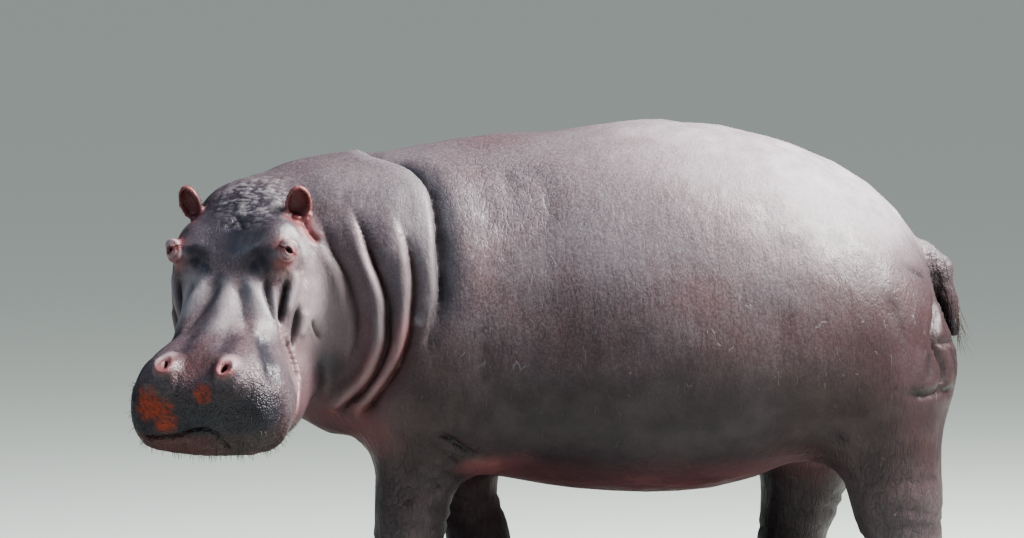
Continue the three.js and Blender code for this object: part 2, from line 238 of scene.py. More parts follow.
def largest_only(obj):
    """Deletes every island but the biggest."""
    count = len(obj.data.vertices)
    parent = np.arange(count)
    a, b = edge_array(obj).T
    while True:
        low = np.minimum(parent[a], parent[b])
        before = parent.copy()
        np.minimum.at(parent, a, low)
        np.minimum.at(parent, b, low)
        parent = parent[parent]
        if (parent == before).all():
            break
    ids, sizes = np.unique(parent, return_counts=True)
    if len(ids) == 1:
        return
    keep = parent == ids[np.argmax(sizes)]
    bm = bmesh.new()
    bm.from_mesh(obj.data)
    bmesh.ops.delete(bm, geom=[v for v in bm.verts if not keep[v.index]], context="VERTS")
    bm.to_mesh(obj.data)
    bm.free()


def inside_share(p, low, high, soft):
    """1 inside a box, falling to 0 over `soft` beyond it."""
    out = np.maximum(np.maximum(low - p, p - high), 0)
    return 1 - smooth_step(np.linalg.norm(out, axis=1), 0, soft)


LIGHT_PASSES, HEAVY_PASSES = 6, 60  # of smoothing: where the forms are small, and on the trunk


def make_base():
    """The flesh as one body: its facets go, its forms stay."""
    bodies = [n for n in FLESH if not n.startswith("ear")] + ["eye_left", "eye_right"]
    made = joined([copy_of(n, 1 * MM) for n in bodies])
    made.name = "skin"
    apply_modifier(made, "REMESH", mode="VOXEL", voxel_size=COARSE_VOXEL, adaptivity=0)
    largest_only(made)
    co = coordinates(made)
    smoother = Smoother(made)
    head = inside_share(co, *box_of("head", "lower_jaw"), 60 * MM)
    tail = inside_share(co, *box_of("tail"), 20 * MM)
    low_leg = 1 - smooth_step(co[:, 2], 0.20, 0.50)
    fine = np.clip(head + tail + low_leg, 0, 1)[:, None]
    everywhere = np.full(len(co), 0.5)
    light = smoother.keep_size(co, everywhere, LIGHT_PASSES)
    heavy = smoother.keep_size(co, everywhere, HEAVY_PASSES)
    set_coordinates(made, fine * light + (1 - fine) * heavy)
    apply_modifier(made, "SUBSURF", levels=1, render_levels=1)
    return made


# ---- Ears: cups on short stalks ---------------------------------------------

EAR_AT = (-0.203, 0.1692, 0.0183)  # the middle of the cup, in the head's frame
EAR_UP = (-0.6, 0.2, 0.77)  # to its tip
EAR_OPENS = (0.78, 0.32, 0.54)  # where the cup faces
EAR_SIZE = np.array([0.036, 0.025, 0.064])  # half its breadth, depth and height
EAR_WALL = 9 * MM


def ear_matrix(side):
    """+Y comes out of the cup and +Z goes to the tip."""
    up = head_direction(EAR_UP, side)
    opens = head_direction(EAR_OPENS, side)
    opens = unit(opens - up * (opens @ up))
    made = Matrix.Identity(4)
    for column, axis in enumerate((np.cross(opens, up), opens, up)):
        for row in range(3):
            made[row][column] = axis[row]
    made.translation = from_head(EAR_AT, side)
    return made


def make_ear(name, side):
    """An egg with its front cut off and a wall given, pinched below, on a stalk into the head."""
    bpy.ops.object.select_all(action="DESELECT")
    bpy.ops.mesh.primitive_uv_sphere_add(segments=32, ring_count=20, radius=1)
    cup = bpy.context.object
    bpy.ops.object.mode_set(mode="EDIT")
    bpy.ops.mesh.select_all(action="SELECT")
    bpy.ops.transform.resize(value=tuple(EAR_SIZE - (0, EAR_WALL / 2, EAR_WALL / 2)))
    bpy.ops.mesh.bisect(plane_co=(0, 5 * MM, 0), plane_no=(0, 1, -0.12), clear_outer=True)
    bpy.ops.object.mode_set(mode="OBJECT")
    co = coordinates(cup)
    tall = co[:, 2] / EAR_SIZE[2]
    co[:, 0] *= 1 - 0.42 * smooth_step(-tall, -0.1, 1.0)  # narrow at its foot
    co[:, 1] += 7 * MM * np.maximum(tall, 0) ** 2  # the tip curls forward
    co[:, 0] += side * 4 * MM * tall ** 2  # and leans outward
    set_coordinates(cup, co)
    apply_modifier(cup, "SOLIDIFY", thickness=EAR_WALL, offset=0, use_rim=True)
    apply_modifier(cup, "SUBSURF", levels=1, render_levels=1)
    bpy.ops.mesh.primitive_cone_add(
        vertices=24, radius1=38 * MM, radius2=21 * MM, depth=84 * MM, location=(0, -15 * MM, -72 * MM))
    ear = joined([cup, bpy.context.object])
    ear.name = name
    ear.data.transform(ear_matrix(side))
    ear.location = (0, 0, 0)
    return ear


skin = make_base()
ears = [make_ear(f"ear_cup_{name}", side) for name, side in SIDES]
skin = joined([skin] + ears)
apply_modifier(skin, "REMESH", mode="VOXEL", voxel_size=FINE_VOXEL, adaptivity=0)
largest_only(skin)


# ---- Shaping tools ----------------------------------------------------------

# dark and crease are mostly painted shade: in creases, hollows and openings, and on parts that face away from
# the light; crease also darkens the tail's tip. pale is painted highlight on ridges and lit parts, and also
# dust and scars. brown is the hide's own brown on the muzzle and throat, and painted shade low on the body.
MARKS = ("pink", "dark", "orange", "brown", "crease", "pebble", "pale", "rugged")
PATH_STEPS = 56  # places along a line that is drawn on the skin


def smooth_path(points):
    """An even, rounded line through a few points."""
    p = np.array(points, float)
    p = np.vstack([2 * p[0] - p[1], p, 2 * p[-1] - p[-2]])
    t = np.linspace(0, len(p) - 3 - 1e-9, PATH_STEPS)
    i = t.astype(int)
    f = (t - i)[:, None]
    a, b, c, d = p[i], p[i + 1], p[i + 2], p[i + 3]
    square, cube = 2 * a - 5 * b + 4 * c - d, 3 * b - a - 3 * c + d
    line = 0.5 * (2 * b + (c - a) * f + square * f ** 2 + cube * f ** 3)
    length = np.concatenate([[0], np.cumsum(np.linalg.norm(np.diff(line, axis=0), axis=1))])
    even = np.linspace(0, length[-1], PATH_STEPS)
    return np.stack([np.interp(even, length, line[:, k]) for k in range(3)], axis=1)


def refine(obj, places):
    """Halves the mesh within each radius of each place, in turn. places is (centre, radius), ..."""
    bm = bmesh.new()
    bm.from_mesh(obj.data)
    for centre, radius in places:
        centre = Vector(centre)
        near = {v for v in bm.verts if (v.co - centre).length < radius}
        edges = [e for e in bm.edges if e.verts[0] in near and e.verts[1] in near]
        bmesh.ops.subdivide_edges(bm, edges=edges, cuts=1, use_grid_fill=True)
    bmesh.ops.triangulate(bm, faces=[f for f in bm.faces if len(f.verts) > 4])
    bm.to_mesh(obj.data)
    bm.free()


class Clay:
    """The skin while it is shaped: places, outward directions and marks, one of each at every vertex."""

    def __init__(self, obj):
        self.obj = obj
        self.smoother = Smoother(obj)
        self.co = coordinates(obj)
        self.marks = {name: np.zeros(len(self.co)) for name in MARKS}
        self.refresh()

    def refresh(self, soften=3):
        """After a stage of shaping: the outward directions again, and the tree for dropping points."""
        set_coordinates(self.obj, self.co)
        every = np.full(len(self.co), 0.5)
        self.out = unit(self.smoother.run(normals(self.obj), every, soften))
        self.tree = BVHTree.FromObject(self.obj, bpy.context.evaluated_depsgraph_get())
        self.head = to_head(self.co)

    def on_skin(self, points):
        return np.array([self.tree.find_nearest(Vector(p))[0][:] for p in np.atleast_2d(points)])

    def near(self, line, reach):
        """The vertices near a line, the signed distance to its side and how far along they are."""
        low, high = line.min(axis=0) - reach, line.max(axis=0) + reach
        idx = np.nonzero(((self.co > low) & (self.co < high)).all(axis=1))[0]
        best = np.full(len(idx), reach ** 2)
        at = np.full(len(idx), -1)
        p = self.co[idx]
        for i, q in enumerate(line):
            d = ((p - q) ** 2).sum(axis=1)
            closer = d < best
            best[closer] = d[closer]
            at[closer] = i
        idx, at = idx[at >= 0], at[at >= 0]
        tangent = unit(np.gradient(line, axis=0))[at]
        w = self.co[idx] - line[at]
        across = unit(np.cross(self.out[idx], tangent))
        side = (w * across).sum(axis=1)
        beyond = (w * tangent).sum(axis=1)
        over = np.where((at == 0) | (at == len(line) - 1), np.abs(beyond), 0)
        return idx, side, at / (len(line) - 1), over, across

    def along_line(self, t, ends):
        """1 along a line, falling to 0 over these shares of it at its two ends."""
        return smooth_step(t, 0, ends[0] + 1e-6) * (1 - smooth_step(t, 1 - ends[1] - 1e-6, 1))

    def fold(self, points, depth, left=(7 * MM, 0), right=(7 * MM, 0), ends=(0.2, 0.2), lean=0,
             crest_at=26 * MM, wobble=0.15, tone=1.0, pink=0.0, edge=0.0):
        """A crease along a line. left and right are how wide the wall of each side is and how high its roll.

        lean pushes the left roll over the crease. tone is how dark the painted shade in the crease gets, edge
        how pale the painted highlight on that roll.
        """
        line = self.on_skin(smooth_path(self.on_skin(points)))
        reach = crest_at * 2 + max(left[0], right[0]) * 3
        idx, s, t, over, across = self.near(line, reach)
        strength = self.along_line(t, ends) * hill(over, 10 * MM)
        strength = strength * (1 + wobble * soft_noise(self.co[idx], 45 * MM, 5))
        s = s + wobble * 14 * MM * soft_noise(self.co[idx], 60 * MM, 6)
        soft = 2.5 * MM
        width = np.where(s < 0, left[0], right[0])
        crest = np.where(s < 0, left[1], right[1])
        wall = np.exp(-(np.sqrt(s * s + soft * soft) - soft) / width)
        rise = hill(np.abs(s) - crest_at, crest_at * 0.6)
        self.co[idx] += (strength * (crest * rise - depth * wall))[:, None] * self.out[idx]
        if lean:
            tip = np.where(s < 0, (1 - wall) * np.exp(-np.abs(s) / (1.2 * crest_at)), 0)
            self.co[idx] += (strength * lean * tip)[:, None] * across
        # Painted shade along the crease.
        dark = tone * np.clip(strength, 0, 1) * np.exp(-np.abs(s) / (6 * MM + 0.25 * width))
        self.paint_at("crease", idx, dark)
        if pink:
            self.paint_at("pink", idx, pink * np.clip(strength, 0, 1) * hill(s, 16 * MM))
        # Painted highlight on the crest of the left roll.
        if edge:
            roll = hill(s + 0.75 * crest_at, 0.4 * crest_at)
            self.paint_at("pale", idx, edge * np.clip(strength, 0, 1) * roll)

    def ridge(self, points, height, width, ends=(0.25, 0.25), pale=0.0):
        """A soft raised band along a line, or a soft valley where height is below zero."""
        line = self.on_skin(smooth_path(self.on_skin(points)))
        idx, s, t, over, _ = self.near(line, width * 2.6)
        strength = self.along_line(t, ends) * hill(over, width / 2)
        shape = strength * hill(s, width / 2)
        self.co[idx] += (height * shape)[:, None] * self.out[idx]
        # pale paints a highlight along the band.
        if pale:
            self.paint_at("pale", idx, pale * shape)

    def band(self, mark, points, width, value, ends=(0.25, 0.25), rough=0.3):
        """Paints a soft band along a line."""
        line = self.on_skin(smooth_path(points))
        idx, s, t, over, _ = self.near(line, width * 3)
        share = self.along_line(t, ends) * hill(over, width / 2)
        s = s * (1 + rough * soft_noise(self.co[idx], 22 * MM, 15))
        self.paint_at(mark, idx, value * share * hill(s, width / 1.7))

    def spot_share(self, centre, size, soft=0.5, rough=0.0):
        """1 at the middle of a rounded patch of this half size, or of these three, and 0 outside it."""
        w = self.co - centre
        near = (np.abs(w) < 2.4 * np.max(size)).all(axis=1)
        share = np.zeros(len(self.co))
        r = np.linalg.norm(w[near] / size, axis=1)
        if rough:
            r = r + rough * (soft_noise(self.co[near], np.min(size) * 0.8, 11)
                             + 0.5 * soft_noise(self.co[near], np.min(size) * 0.35, 12))
        share[near] = 1 - smooth_step(r, 1 - soft, 1 + soft)
        return share

    def mound(self, centre, size, height):
        share = self.spot_share(centre, size, soft=0.9)
        self.co += (height * share)[:, None] * self.out

    def paint_at(self, mark, idx, value):
        self.marks[mark][idx] = np.maximum(self.marks[mark][idx], np.clip(value, 0, 1))

    def paint_all(self, mark, value):
        self.paint_at(mark, slice(None), value)

    def paint(self, mark, centre, size, value, soft=0.5, rough=0.25):
        share = value * self.spot_share(centre, size, soft, rough)
        self.marks[mark] = np.maximum(self.marks[mark], share)

    def relax(self, region, times=2):
        """Evens out the mesh where region is 1."""
        self.co = self.smoother.run(self.co, 0.5 * region, times)


# ---- Body: rolls, creases and soft forms -------------------------------------

# Each crease runs down the near side of the neck, from its top towards the throat.
NECK_CREASES = (
    # points, depth, left wall and roll, right wall and roll, lean, how far the ends fade
    (((-0.585, 0.10, 1.36), (-0.565, 0.0, 1.375), (-0.535, -0.075, 1.355), (-0.47, -0.115, 1.33),
      (-0.405, -0.165, 1.31), (-0.368, -0.215, 1.255), (-0.351, -0.275, 1.165), (-0.343, -0.335, 1.02),
      (-0.343, -0.352, 0.93), (-0.352, -0.358, 0.87), (-0.365, -0.361, 0.80)),
     38, (7, 10), (30, 0), 11, (0.14, 0.30)),
    (((-0.49, -0.26, 1.22), (-0.445, -0.31, 1.145), (-0.425, -0.34, 1.06), (-0.42, -0.355, 0.97),
      (-0.43, -0.36, 0.855), (-0.465, -0.34, 0.75), (-0.525, -0.29, 0.66), (-0.59, -0.20, 0.58)),
     27, (7, 10), (26, 0), 9, (0.30, 0.12)),
    (((-0.606, -0.244, 1.233), (-0.567, -0.293, 1.14), (-0.535, -0.323, 1.05), (-0.50, -0.344, 0.957),
      (-0.496, -0.346, 0.88), (-0.503, -0.339, 0.80), (-0.542, -0.30, 0.71), (-0.60, -0.233, 0.643),
      (-0.66, -0.15, 0.59)),
     28, (8, 11), (24, 0), 9, (0.28, 0.1)),
    (((-0.70, -0.25, 1.19), (-0.657, -0.285, 1.094), (-0.618, -0.304, 1.018), (-0.593, -0.312, 0.942),
      (-0.586, -0.31, 0.865), (-0.596, -0.296, 0.80), (-0.632, -0.263, 0.74)),
     15, (18, 5), (24, 2), 0, (0.3, 0.35)),
)
# The second line of the first crease, which comes off it low down, and the ridge of the body behind both.
NECK_BRANCH = ((-0.333, -0.323, 0.988), (-0.347, -0.355, 0.931), (-0.364, -0.361, 0.858),
               (-0.376, -0.359, 0.793), (-0.388, -0.35, 0.72))
BODY_RIDGE = ((-0.45, -0.03, 1.375), (-0.368, -0.089, 1.347), (-0.303, -0.139, 1.313), (-0.27, -0.222, 1.234),
              (-0.252, -0.292, 1.134), (-0.246, -0.333, 1.033), (-0.255, -0.35, 0.925))
NECK_MIDDLE = middle_of("neck")
NECK_TURN = math.radians(25)  # the neck's own line, to the left of straight ahead


def across_neck(points):
    """The same points on the other side of the neck."""
    side = np.array((math.sin(NECK_TURN), -math.cos(NECK_TURN), 0))
    p = np.array(points)
    return p - 2 * ((p - NECK_MIDDLE) @ side)[:, None] * side


def fold_neck(clay):
    clay.ridge(BODY_RIDGE, 9 * MM, 52 * MM, ends=(0.2, 0.3))
    for number, (points, depth, left, right, lean, ends) in enumerate(NECK_CREASES):
        clay.fold(points, depth * MM, in_mm(*left), in_mm(*right), ends, lean * MM,
                  pink=0.15 if number else 0.0, edge=0.30)
        # The far side is stretched by the turn of the head: softer and shallower.
        clay.fold(across_neck(points), depth * 0.5 * MM, in_mm(24, 3), in_mm(24, 3), (0.15, 0.3), pink=0.3)
    clay.fold(NECK_BRANCH, 9 * MM, in_mm(7, 4), in_mm(16, 0), ends=(0.35, 0.4), crest_at=16 * MM, tone=0.7)
    # Painted shade darkens the valley of the first crease, and the lower halves of the rolls are pink.
    valley = [np.array(p) + (0.024, -0.002, 0.0) for p in NECK_CREASES[0][0][2:]]
    clay.band("dark", valley, 30 * MM, 0.85, ends=(0.12, 0.25), rough=0.15)
    for points in (NECK_CREASES[1][0][3:], NECK_CREASES[2][0][4:]):
        lower = [np.array(p) + (-0.016, 0, 0) for p in points]
        clay.band("pink", lower, 34 * MM, 0.62, ends=(0.3, 0.05))
        clay.band("brown", lower, 60 * MM, 0.35, ends=(0.3, 0.05))


def soften_body(clay):
    """Slow swells of flesh over the trunk and the tops of the legs."""
    broad = 1 - inside_share(clay.co, *box_of("head", "lower_jaw"), 80 * MM)
    broad *= smooth_step(clay.co[:, 2], 0.25, 0.5) * (1 - inside_share(clay.co, *box_of("tail"), 20 * MM))
    swell = 5 * MM * soft_noise(clay.co, 0.21, 21) + 3.0 * MM * soft_noise(clay.co, 0.10, 22)
    upright = clay.co * (1, 1, 0.35)
    swell += 2.5 * MM * soft_noise(upright, 0.055, 23)
    clay.co += (broad * swell)[:, None] * clay.out


def mirror_body(points):
    return np.array(points) * (1, -1, 1) + (0, 2 * middle_of("trunk")[1], 0)


def fold_body(clay):
    trunk_folds = (
        # the soft upright wrinkles behind the shoulder
        (((-0.08, -0.11, 1.35), (-0.035, -0.18, 1.30), (-0.015, -0.26, 1.20), (-0.008, -0.32, 1.08)), 5, 11),
        (((-0.235, -0.19, 1.27), (-0.21, -0.245, 1.205), (-0.16, -0.285, 1.14)), 5, 12),
        (((-0.30, -0.14, 1.33), (-0.25, -0.26, 1.19), (-0.24, -0.33, 1.05)), 5, 14),
        (((-0.19, -0.08, 1.38), (-0.13, -0.20, 1.28), (-0.10, -0.28, 1.17)), 4, 12),
        # down the shoulder and the front of the haunch
        (((-0.22, -0.38, 0.92), (-0.20, -0.40, 0.76), (-0.23, -0.36, 0.62)), 6, 26),
        (((0.70, -0.40, 0.98), (0.68, -0.43, 0.82), (0.70, -0.40, 0.66)), 7, 34),
        (((0.98, -0.30, 0.98), (1.03, -0.30, 0.86), (1.03, -0.30, 0.74)), 5, 22),
    )
    for points, depth, width in trunk_folds:
        for p in (points, mirror_body(points)):
            clay.fold(p, depth * MM, in_mm(width, 1), in_mm(width, 1), ends=(0.3, 0.35), tone=0.25)


def fold_rump(clay):
    """Lobes of skin beside and below the tail, with a groove down between them and the thighs."""
    tail_y = middle_of("tail")[1]
    pad = (1.15, -0.115, 0.755)
    for centre in (pad, mirror_body(pad)):
        clay.mound(centre, (60 * MM, 62 * MM, 120 * MM), 24 * MM)
    clay.refresh()
    creases = (
        # down from the tail's root, then round the outside of the pad
        (((1.117, -0.085, 0.965), (1.124, -0.12, 0.921), (1.12, -0.16, 0.875), (1.121, -0.196, 0.825),
          (1.132, -0.20, 0.78), (1.145, -0.185, 0.74), (1.143, -0.19, 0.695), (1.12, -0.225, 0.65)),
         20, (16, 6), (13, 5), (0.25, 0.2)),
        # across under the pad, and out onto the thigh
        (((1.165, -0.10, 0.672), (1.135, -0.195, 0.668), (1.09, -0.262, 0.66), (1.035, -0.30, 0.668),
          (0.985, -0.325, 0.69)), 11, (16, 4), (20, 3), (0.2, 0.45)),
        # on the pad
        (((1.128, -0.19, 0.812), (1.155, -0.14, 0.805), (1.17, -0.08, 0.812)),
         9, (8, 3), (8, 3), (0.15, 0.3)),
        (((1.16, -0.15, 0.79), (1.169, -0.125, 0.745), (1.166, -0.128, 0.695)),
         7, (8, 3), (8, 3), (0.3, 0.3)),
        (((1.092, -0.215, 0.79), (1.105, -0.235, 0.74), (1.10, -0.245, 0.69)),
         6, (12, 3), (12, 3), (0.3, 0.3)),
        (((1.03, -0.18, 1.04), (1.07, -0.15, 1.01), (1.10, -0.10, 0.99)), 5, (10, 2), (10, 2), (0.35, 0.35)),
    )
    for points, depth, left, right, ends in creases:
        for p in (points, mirror_body(points)):
            clay.fold(p, depth * MM, in_mm(*left), in_mm(*right), ends, crest_at=24 * MM,
                      wobble=0.35, tone=0.75)
    warts = clay.spot_share((1.10, tail_y, 0.98), (0.10, 0.17, 0.11), 0.6)
    bumps = np.abs(soft_noise(clay.co, 19 * MM, 31)) + 0.6 * np.abs(soft_noise(clay.co, 11 * MM, 32))
    rumpled = np.maximum(warts, 0.6 * clay.spot_share((1.15, tail_y, 0.76), (0.07, 0.32, 0.17), 0.6))
    clay.co += (6 * MM * rumpled * (bumps - 0.35))[:, None] * clay.out
    clay.paint_all("pebble", 0.6 * warts)
    clay.paint_all("rugged", rumpled)


TAIL_TUCK = 16 * MM


def tuck_tail(clay):
    """The tail's lower part is brought nearer to the rump."""
    low, high = box_of("tail")
    tail = inside_share(clay.co, low + (0.055, 0, 0), high, 6 * MM)
    hangs = smooth_step(high[2] - 0.03 - clay.co[:, 2], 0, 0.12)
    clay.co[:, 0] -= TAIL_TUCK * tail * hangs
    clay.paint_all("rugged", tail)


# ---- Legs and feet ------------------------------------------------------------

def ring_fold(clay, centre, radius, height, tilt, depth, width, mostly):
    """A crease round a leg at a height, tilted from front to back and strongest on one side."""
    reach = 4 * width
    w = clay.co - (centre[0], centre[1], height)
    idx = np.nonzero((np.hypot(w[:, 0], w[:, 1]) < radius) & (np.abs(w[:, 2]) < reach + 0.06))[0]
    w = w[idx]
    s = w[:, 2] - tilt * w[:, 0] + 6 * MM * soft_noise(clay.co[idx], 70 * MM, 41)
    strength = 1 + 0.5 * soft_noise(clay.co[idx], 90 * MM, 42)
    strength *= smooth_step(unit(w[:, :2]) @ mostly, -0.6, 0.5)
    wall = np.exp(-(np.sqrt(s * s + 6e-6) - 2.4 * MM) / width)
    wall -= 0.35 * hill(np.abs(s) - 2.6 * width, width)
    clay.co[idx] -= (depth * strength * wall)[:, None] * clay.out[idx]
    # Painted shade in the crease.
    clay.paint_at("crease", idx, 0.55 * strength * np.exp(-np.abs(s) / (5 * MM)))


IN_FRONT, BEHIND = (-1.0, 0.0), (1.0, 0.0)
LEG_CREASES = (  # height, tilt, depth in mm, where it is strongest
    (0.165, 0.10, 6, IN_FRONT), (0.215, -0.06, 4.5, IN_FRONT), (0.262, 0.12, 4, BEHIND),
    (0.33, -0.15, 3.5, BEHIND), (0.40, 0.1, 3.5, BEHIND),
)


def fold_legs(clay):
    for name in LEGS:
        leg, foot = middle_of(name), middle_of(name.replace("leg", "foot"))
        low, high = box_of(name)
        thick = 0.15 if name.startswith("fore") else 0.17
        for height, tilt, depth, mostly in LEG_CREASES:
            share = smooth_step(height, 0.12, 0.42)
            centre = foot * (1 - share) + leg * share
            ring_fold(clay, centre, thick, height, tilt, depth * MM, 8 * MM, mostly)
        small = inside_share(clay.co, low, high, 10 * MM) * (1 - smooth_step(clay.co[:, 2], 0.5, 0.62))
        net = np.abs(soft_noise(clay.co * (1, 1, 1.6), 24 * MM, 43))
        clay.co += (2.5 * MM * small * (net - 0.3))[:, None] * clay.out
        clay.paint_all("rugged", 0.8 * small)


def fold_elbows(clay):
    """Where each leg leaves the body."""
    lines = (
        # the elbow's long crease, and the lesser ones below it
        (((-0.392, -0.30, 0.566), (-0.348, -0.296, 0.552), (-0.31, -0.298, 0.535),
          (-0.275, -0.288, 0.506), (-0.238, -0.262, 0.482), (-0.19, -0.22, 0.462)), 13, (8, 3), (8, 2), 1.0),
        (((-0.385, -0.277, 0.525), (-0.345, -0.268, 0.497), (-0.305, -0.251, 0.463), (-0.27, -0.22, 0.44)),
         6, (9, 2), (9, 1), 0.5),
        (((-0.375, -0.25, 0.462), (-0.335, -0.225, 0.435), (-0.30, -0.19, 0.41)), 4, (9, 1), (9, 1), 0.4),
        (((-0.40, -0.24, 0.435), (-0.36, -0.225, 0.405), (-0.31, -0.19, 0.375)), 4, (9, 1), (9, 1), 0.4),
        # the front of the thigh, under the flank
        (((0.74, -0.37, 0.60), (0.775, -0.355, 0.54), (0.82, -0.32, 0.49), (0.86, -0.28, 0.46)),
         9, (18, 3), (16, 2), 0.5),
        (((0.83, -0.38, 0.62), (0.90, -0.37, 0.60), (0.99, -0.36, 0.61)), 4, (18, 1), (18, 1), 0.2),
    )
    for points, depth, left, right, tone in lines:
        for p in (points, mirror_body(points) + (0.1, 0, 0)):
            clay.fold(p, depth * MM, in_mm(*left), in_mm(*right), (0.45, 0.35), crest_at=20 * MM, wobble=0.12,
                      tone=tone)
    for centre in ((-0.32, -0.25, 0.47), mirror_body((-0.22, -0.25, 0.47))):
        creased = clay.spot_share(centre, (0.12, 0.10, 0.10), 0.8)
        clay.co += (2.5 * MM * creased * soft_noise(clay.co * (0.6, 1, 1.2), 17 * MM, 44))[:, None] * clay.out
        clay.paint_all("rugged", 0.9 * creased)


# ---- Head ---------------------------------------------------------------------

SIGHT = (0.60, 0.47, 0.65)  # where the left eye's opening faces, in the head's frame
SLIT = (0.0, 0.93, -0.37)  # from its inner to its outer corner
LID = 9 * MM  # how thick the lids are over the ball


def eye_axes(side):
    """Outward, along the opening, and up across it."""
    out = head_direction(SIGHT, side)
    along = head_direction(SLIT, side)
    along = unit(along - out * (along @ out))
    up = np.cross(out, along) * side
    return out, along, up


def eye_middle(side):
    return from_head(EYES_AT, side)


def shape_eye(clay, side):
    """Swollen lids in rings over the ball, with a small slanted opening."""
    middle = eye_middle(side)
    out, along, up = eye_axes(side)
    idx = np.nonzero(np.linalg.norm(clay.co - middle, axis=1) < 75 * MM)[0]
    w = clay.co[idx] - middle
    r = np.linalg.norm(w, axis=1)
    d = w / r[:, None]
    a, b = d @ along, d @ up
    turn = np.degrees(np.arccos(np.clip(d @ out, -1, 1)))
    # The lids lie on the ball near the opening and run out into the socket.
    on_ball = 1 - smooth_step(turn, 50, 106)
    ringed = smooth_step(turn, 28, 44) * (1 - smooth_step(turn, 70, 96)) * (0.65 - 0.35 * b)
    rings = 1.5 * MM * np.cos(math.radians(14) * turn + 1.6 * a + 0.8 * b) * ringed
    upper = 6.0 * MM * hill(b - 0.55, 0.24) * hill(a, 0.8)  # the swollen upper lid
    lower = 3.5 * MM * hill(b + 0.42, 0.16) * hill(a, 0.7)
    tall = 10 * MM * smooth_step(np.abs(b), 0.35, 0.95)
    shell = EYE_RADIUS + LID + rings + upper + lower + tall
    half = 0.21 * np.clip(1 - (a / 0.33) ** 2, 0, 1) ** 0.6
    gap = (half - np.abs(b - 0.05 + 0.25 * a)) * (EYE_RADIUS + LID)  # how far inside the opening
    front = turn < 70
    open_share = smooth_step(gap, -1.2 * MM, 1.6 * MM) * front
    lip = 1.8 * MM * hill(gap + 3.4 * MM, 1.8 * MM) * front
    target = (shell + lip) * (1 - open_share) + (EYE_RADIUS - 5 * MM) * open_share
    clay.co[idx] = middle + d * (r + on_ball * (target - r))[:, None]
    ring = 1 - smooth_step(turn, 66, 100)
    clay.paint_at("pink", idx, 0.88 * ring)
    # Painted highlight on the swollen upper lid.
    clay.paint_at("pale", idx, 0.70 * hill(b - 0.62, 0.28) * hill(a - 0.1, 0.6) * front)
    clay.paint_at("pale", idx, 0.42 * ring * hill(b + 0.45, 0.22))
    clay.paint("pink", from_head((-0.033, 0.166, 0.004), side), 43 * MM, 0.72, soft=0.5)
    # Painted shade round the opening and in the troughs between the rings of lids.
    dark = hill(gap, 2.2 * MM) * front + 0.40 * np.clip(-rings / (1.5 * MM), 0, 1) * on_ball
    clay.paint_at("crease", idx, dark)
    # A trough round the ring of lids.
    trough = hill(turn - 104, 12) * hill(r - 36 * MM, 20 * MM) * (b < 0.3)
    clay.co[idx] -= (2.5 * MM * trough)[:, None] * clay.out[idx]


NOSTRIL_AT = {LEFT: (0.438, 0.101, 0.014), RIGHT: (0.428, 0.093, 0.01)}


def shape_nostril(clay, side):
    """A raised rim round a slanted hole that opens forward and up."""
    middle = clay.on_skin(from_head(NOSTRIL_AT[side], side))[0]
    out = head_direction((0.60, 0.10, 0.79), side)
    along = head_direction((0.62, -0.45, -0.40), side)
    along = unit(along - out * (along @ out))
    up = np.cross(out, along)
    w = clay.co - middle
    idx = np.nonzero(np.linalg.norm(w, axis=1) < 80 * MM)[0]
    w = w[idx]
    a, b = w @ along, w @ up
    ring = np.hypot(a / (34 * MM), b / (29 * MM))
    rim = hill(ring - 0.85, 0.27)
    hole = np.hypot((a - 6 * MM) / (12 * MM), (b - 1 * MM) / (6.5 * MM))
    deep = 1 - smooth_step(hole, 0.5, 1.3)
    dish = 1 - smooth_step(ring, 0.25, 0.85)
    skirt = hill(ring - 1.75, 0.3)
    lift = 12 * MM * rim - 3 * MM * dish - 3 * MM * skirt
    clay.co[idx] += lift[:, None] * out - (24 * MM * deep)[:, None] * (0.85 * out - 0.5 * along)
    clay.paint_at("pink", idx, (0.72 if side == LEFT else 0.50) * (1 - smooth_step(ring, 0.85, 1.4)))
    # Painted shade in the hole and the dish round it.
    clay.paint_at("crease", idx, np.maximum(1 - smooth_step(hole, 0.7, 1.3), 0.45 * dish))
    # Painted highlight on one side of the rim.
    clay.paint_at("pale", idx, 0.55 * rim * smooth_step(-a, 0, 22 * MM))


def on_both(points):
    """A line on the left of the head, and the same on its right."""
    return from_head(points, LEFT), from_head(points, RIGHT)


SNOUT_MIDDLE = ((0.03, 0, -0.01), (0.12, 0.01, -0.03), (0.22, 0.015, -0.035), (0.30, 0.02, -0.04))
SNOUT_RIDGE = ((0.03, 0.05, -0.015), (0.085, 0.086, -0.053), (0.15, 0.127, -0.095), (0.21, 0.16, -0.15))
SNOUT_VALLEY = ((0.04, 0.03, -0.02), (0.12, 0.058, -0.04), (0.20, 0.085, -0.05), (0.28, 0.105, -0.06))
SNOUT_SHADE = ((0.02, -0.012, -0.01), (0.12, -0.026, -0.042), (0.22, -0.028, -0.035), (0.31, -0.045, -0.02))
SNOUT_SHADE_LEFT = ((0.05, 0.05, -0.03), (0.13, 0.06, -0.057), (0.20, 0.078, -0.05))
NOSTRIL_VALLEY = ((0.24, 0.06, -0.04), (0.32, 0.06, -0.03), (0.38, 0.05, -0.01))
FAR_EDGE_HIGHLIGHT = ((0.015, -0.104, -0.01), (0.05, -0.119, -0.04), (0.088, -0.135, -0.072), (0.115, -0.16, -0.11),
            (0.15, -0.178, -0.15))
LIP_VALLEY = ((0.19, 0.124, -0.085), (0.29, 0.164, -0.073), (0.36, 0.19, -0.078), (0.43, 0.215, -0.11))
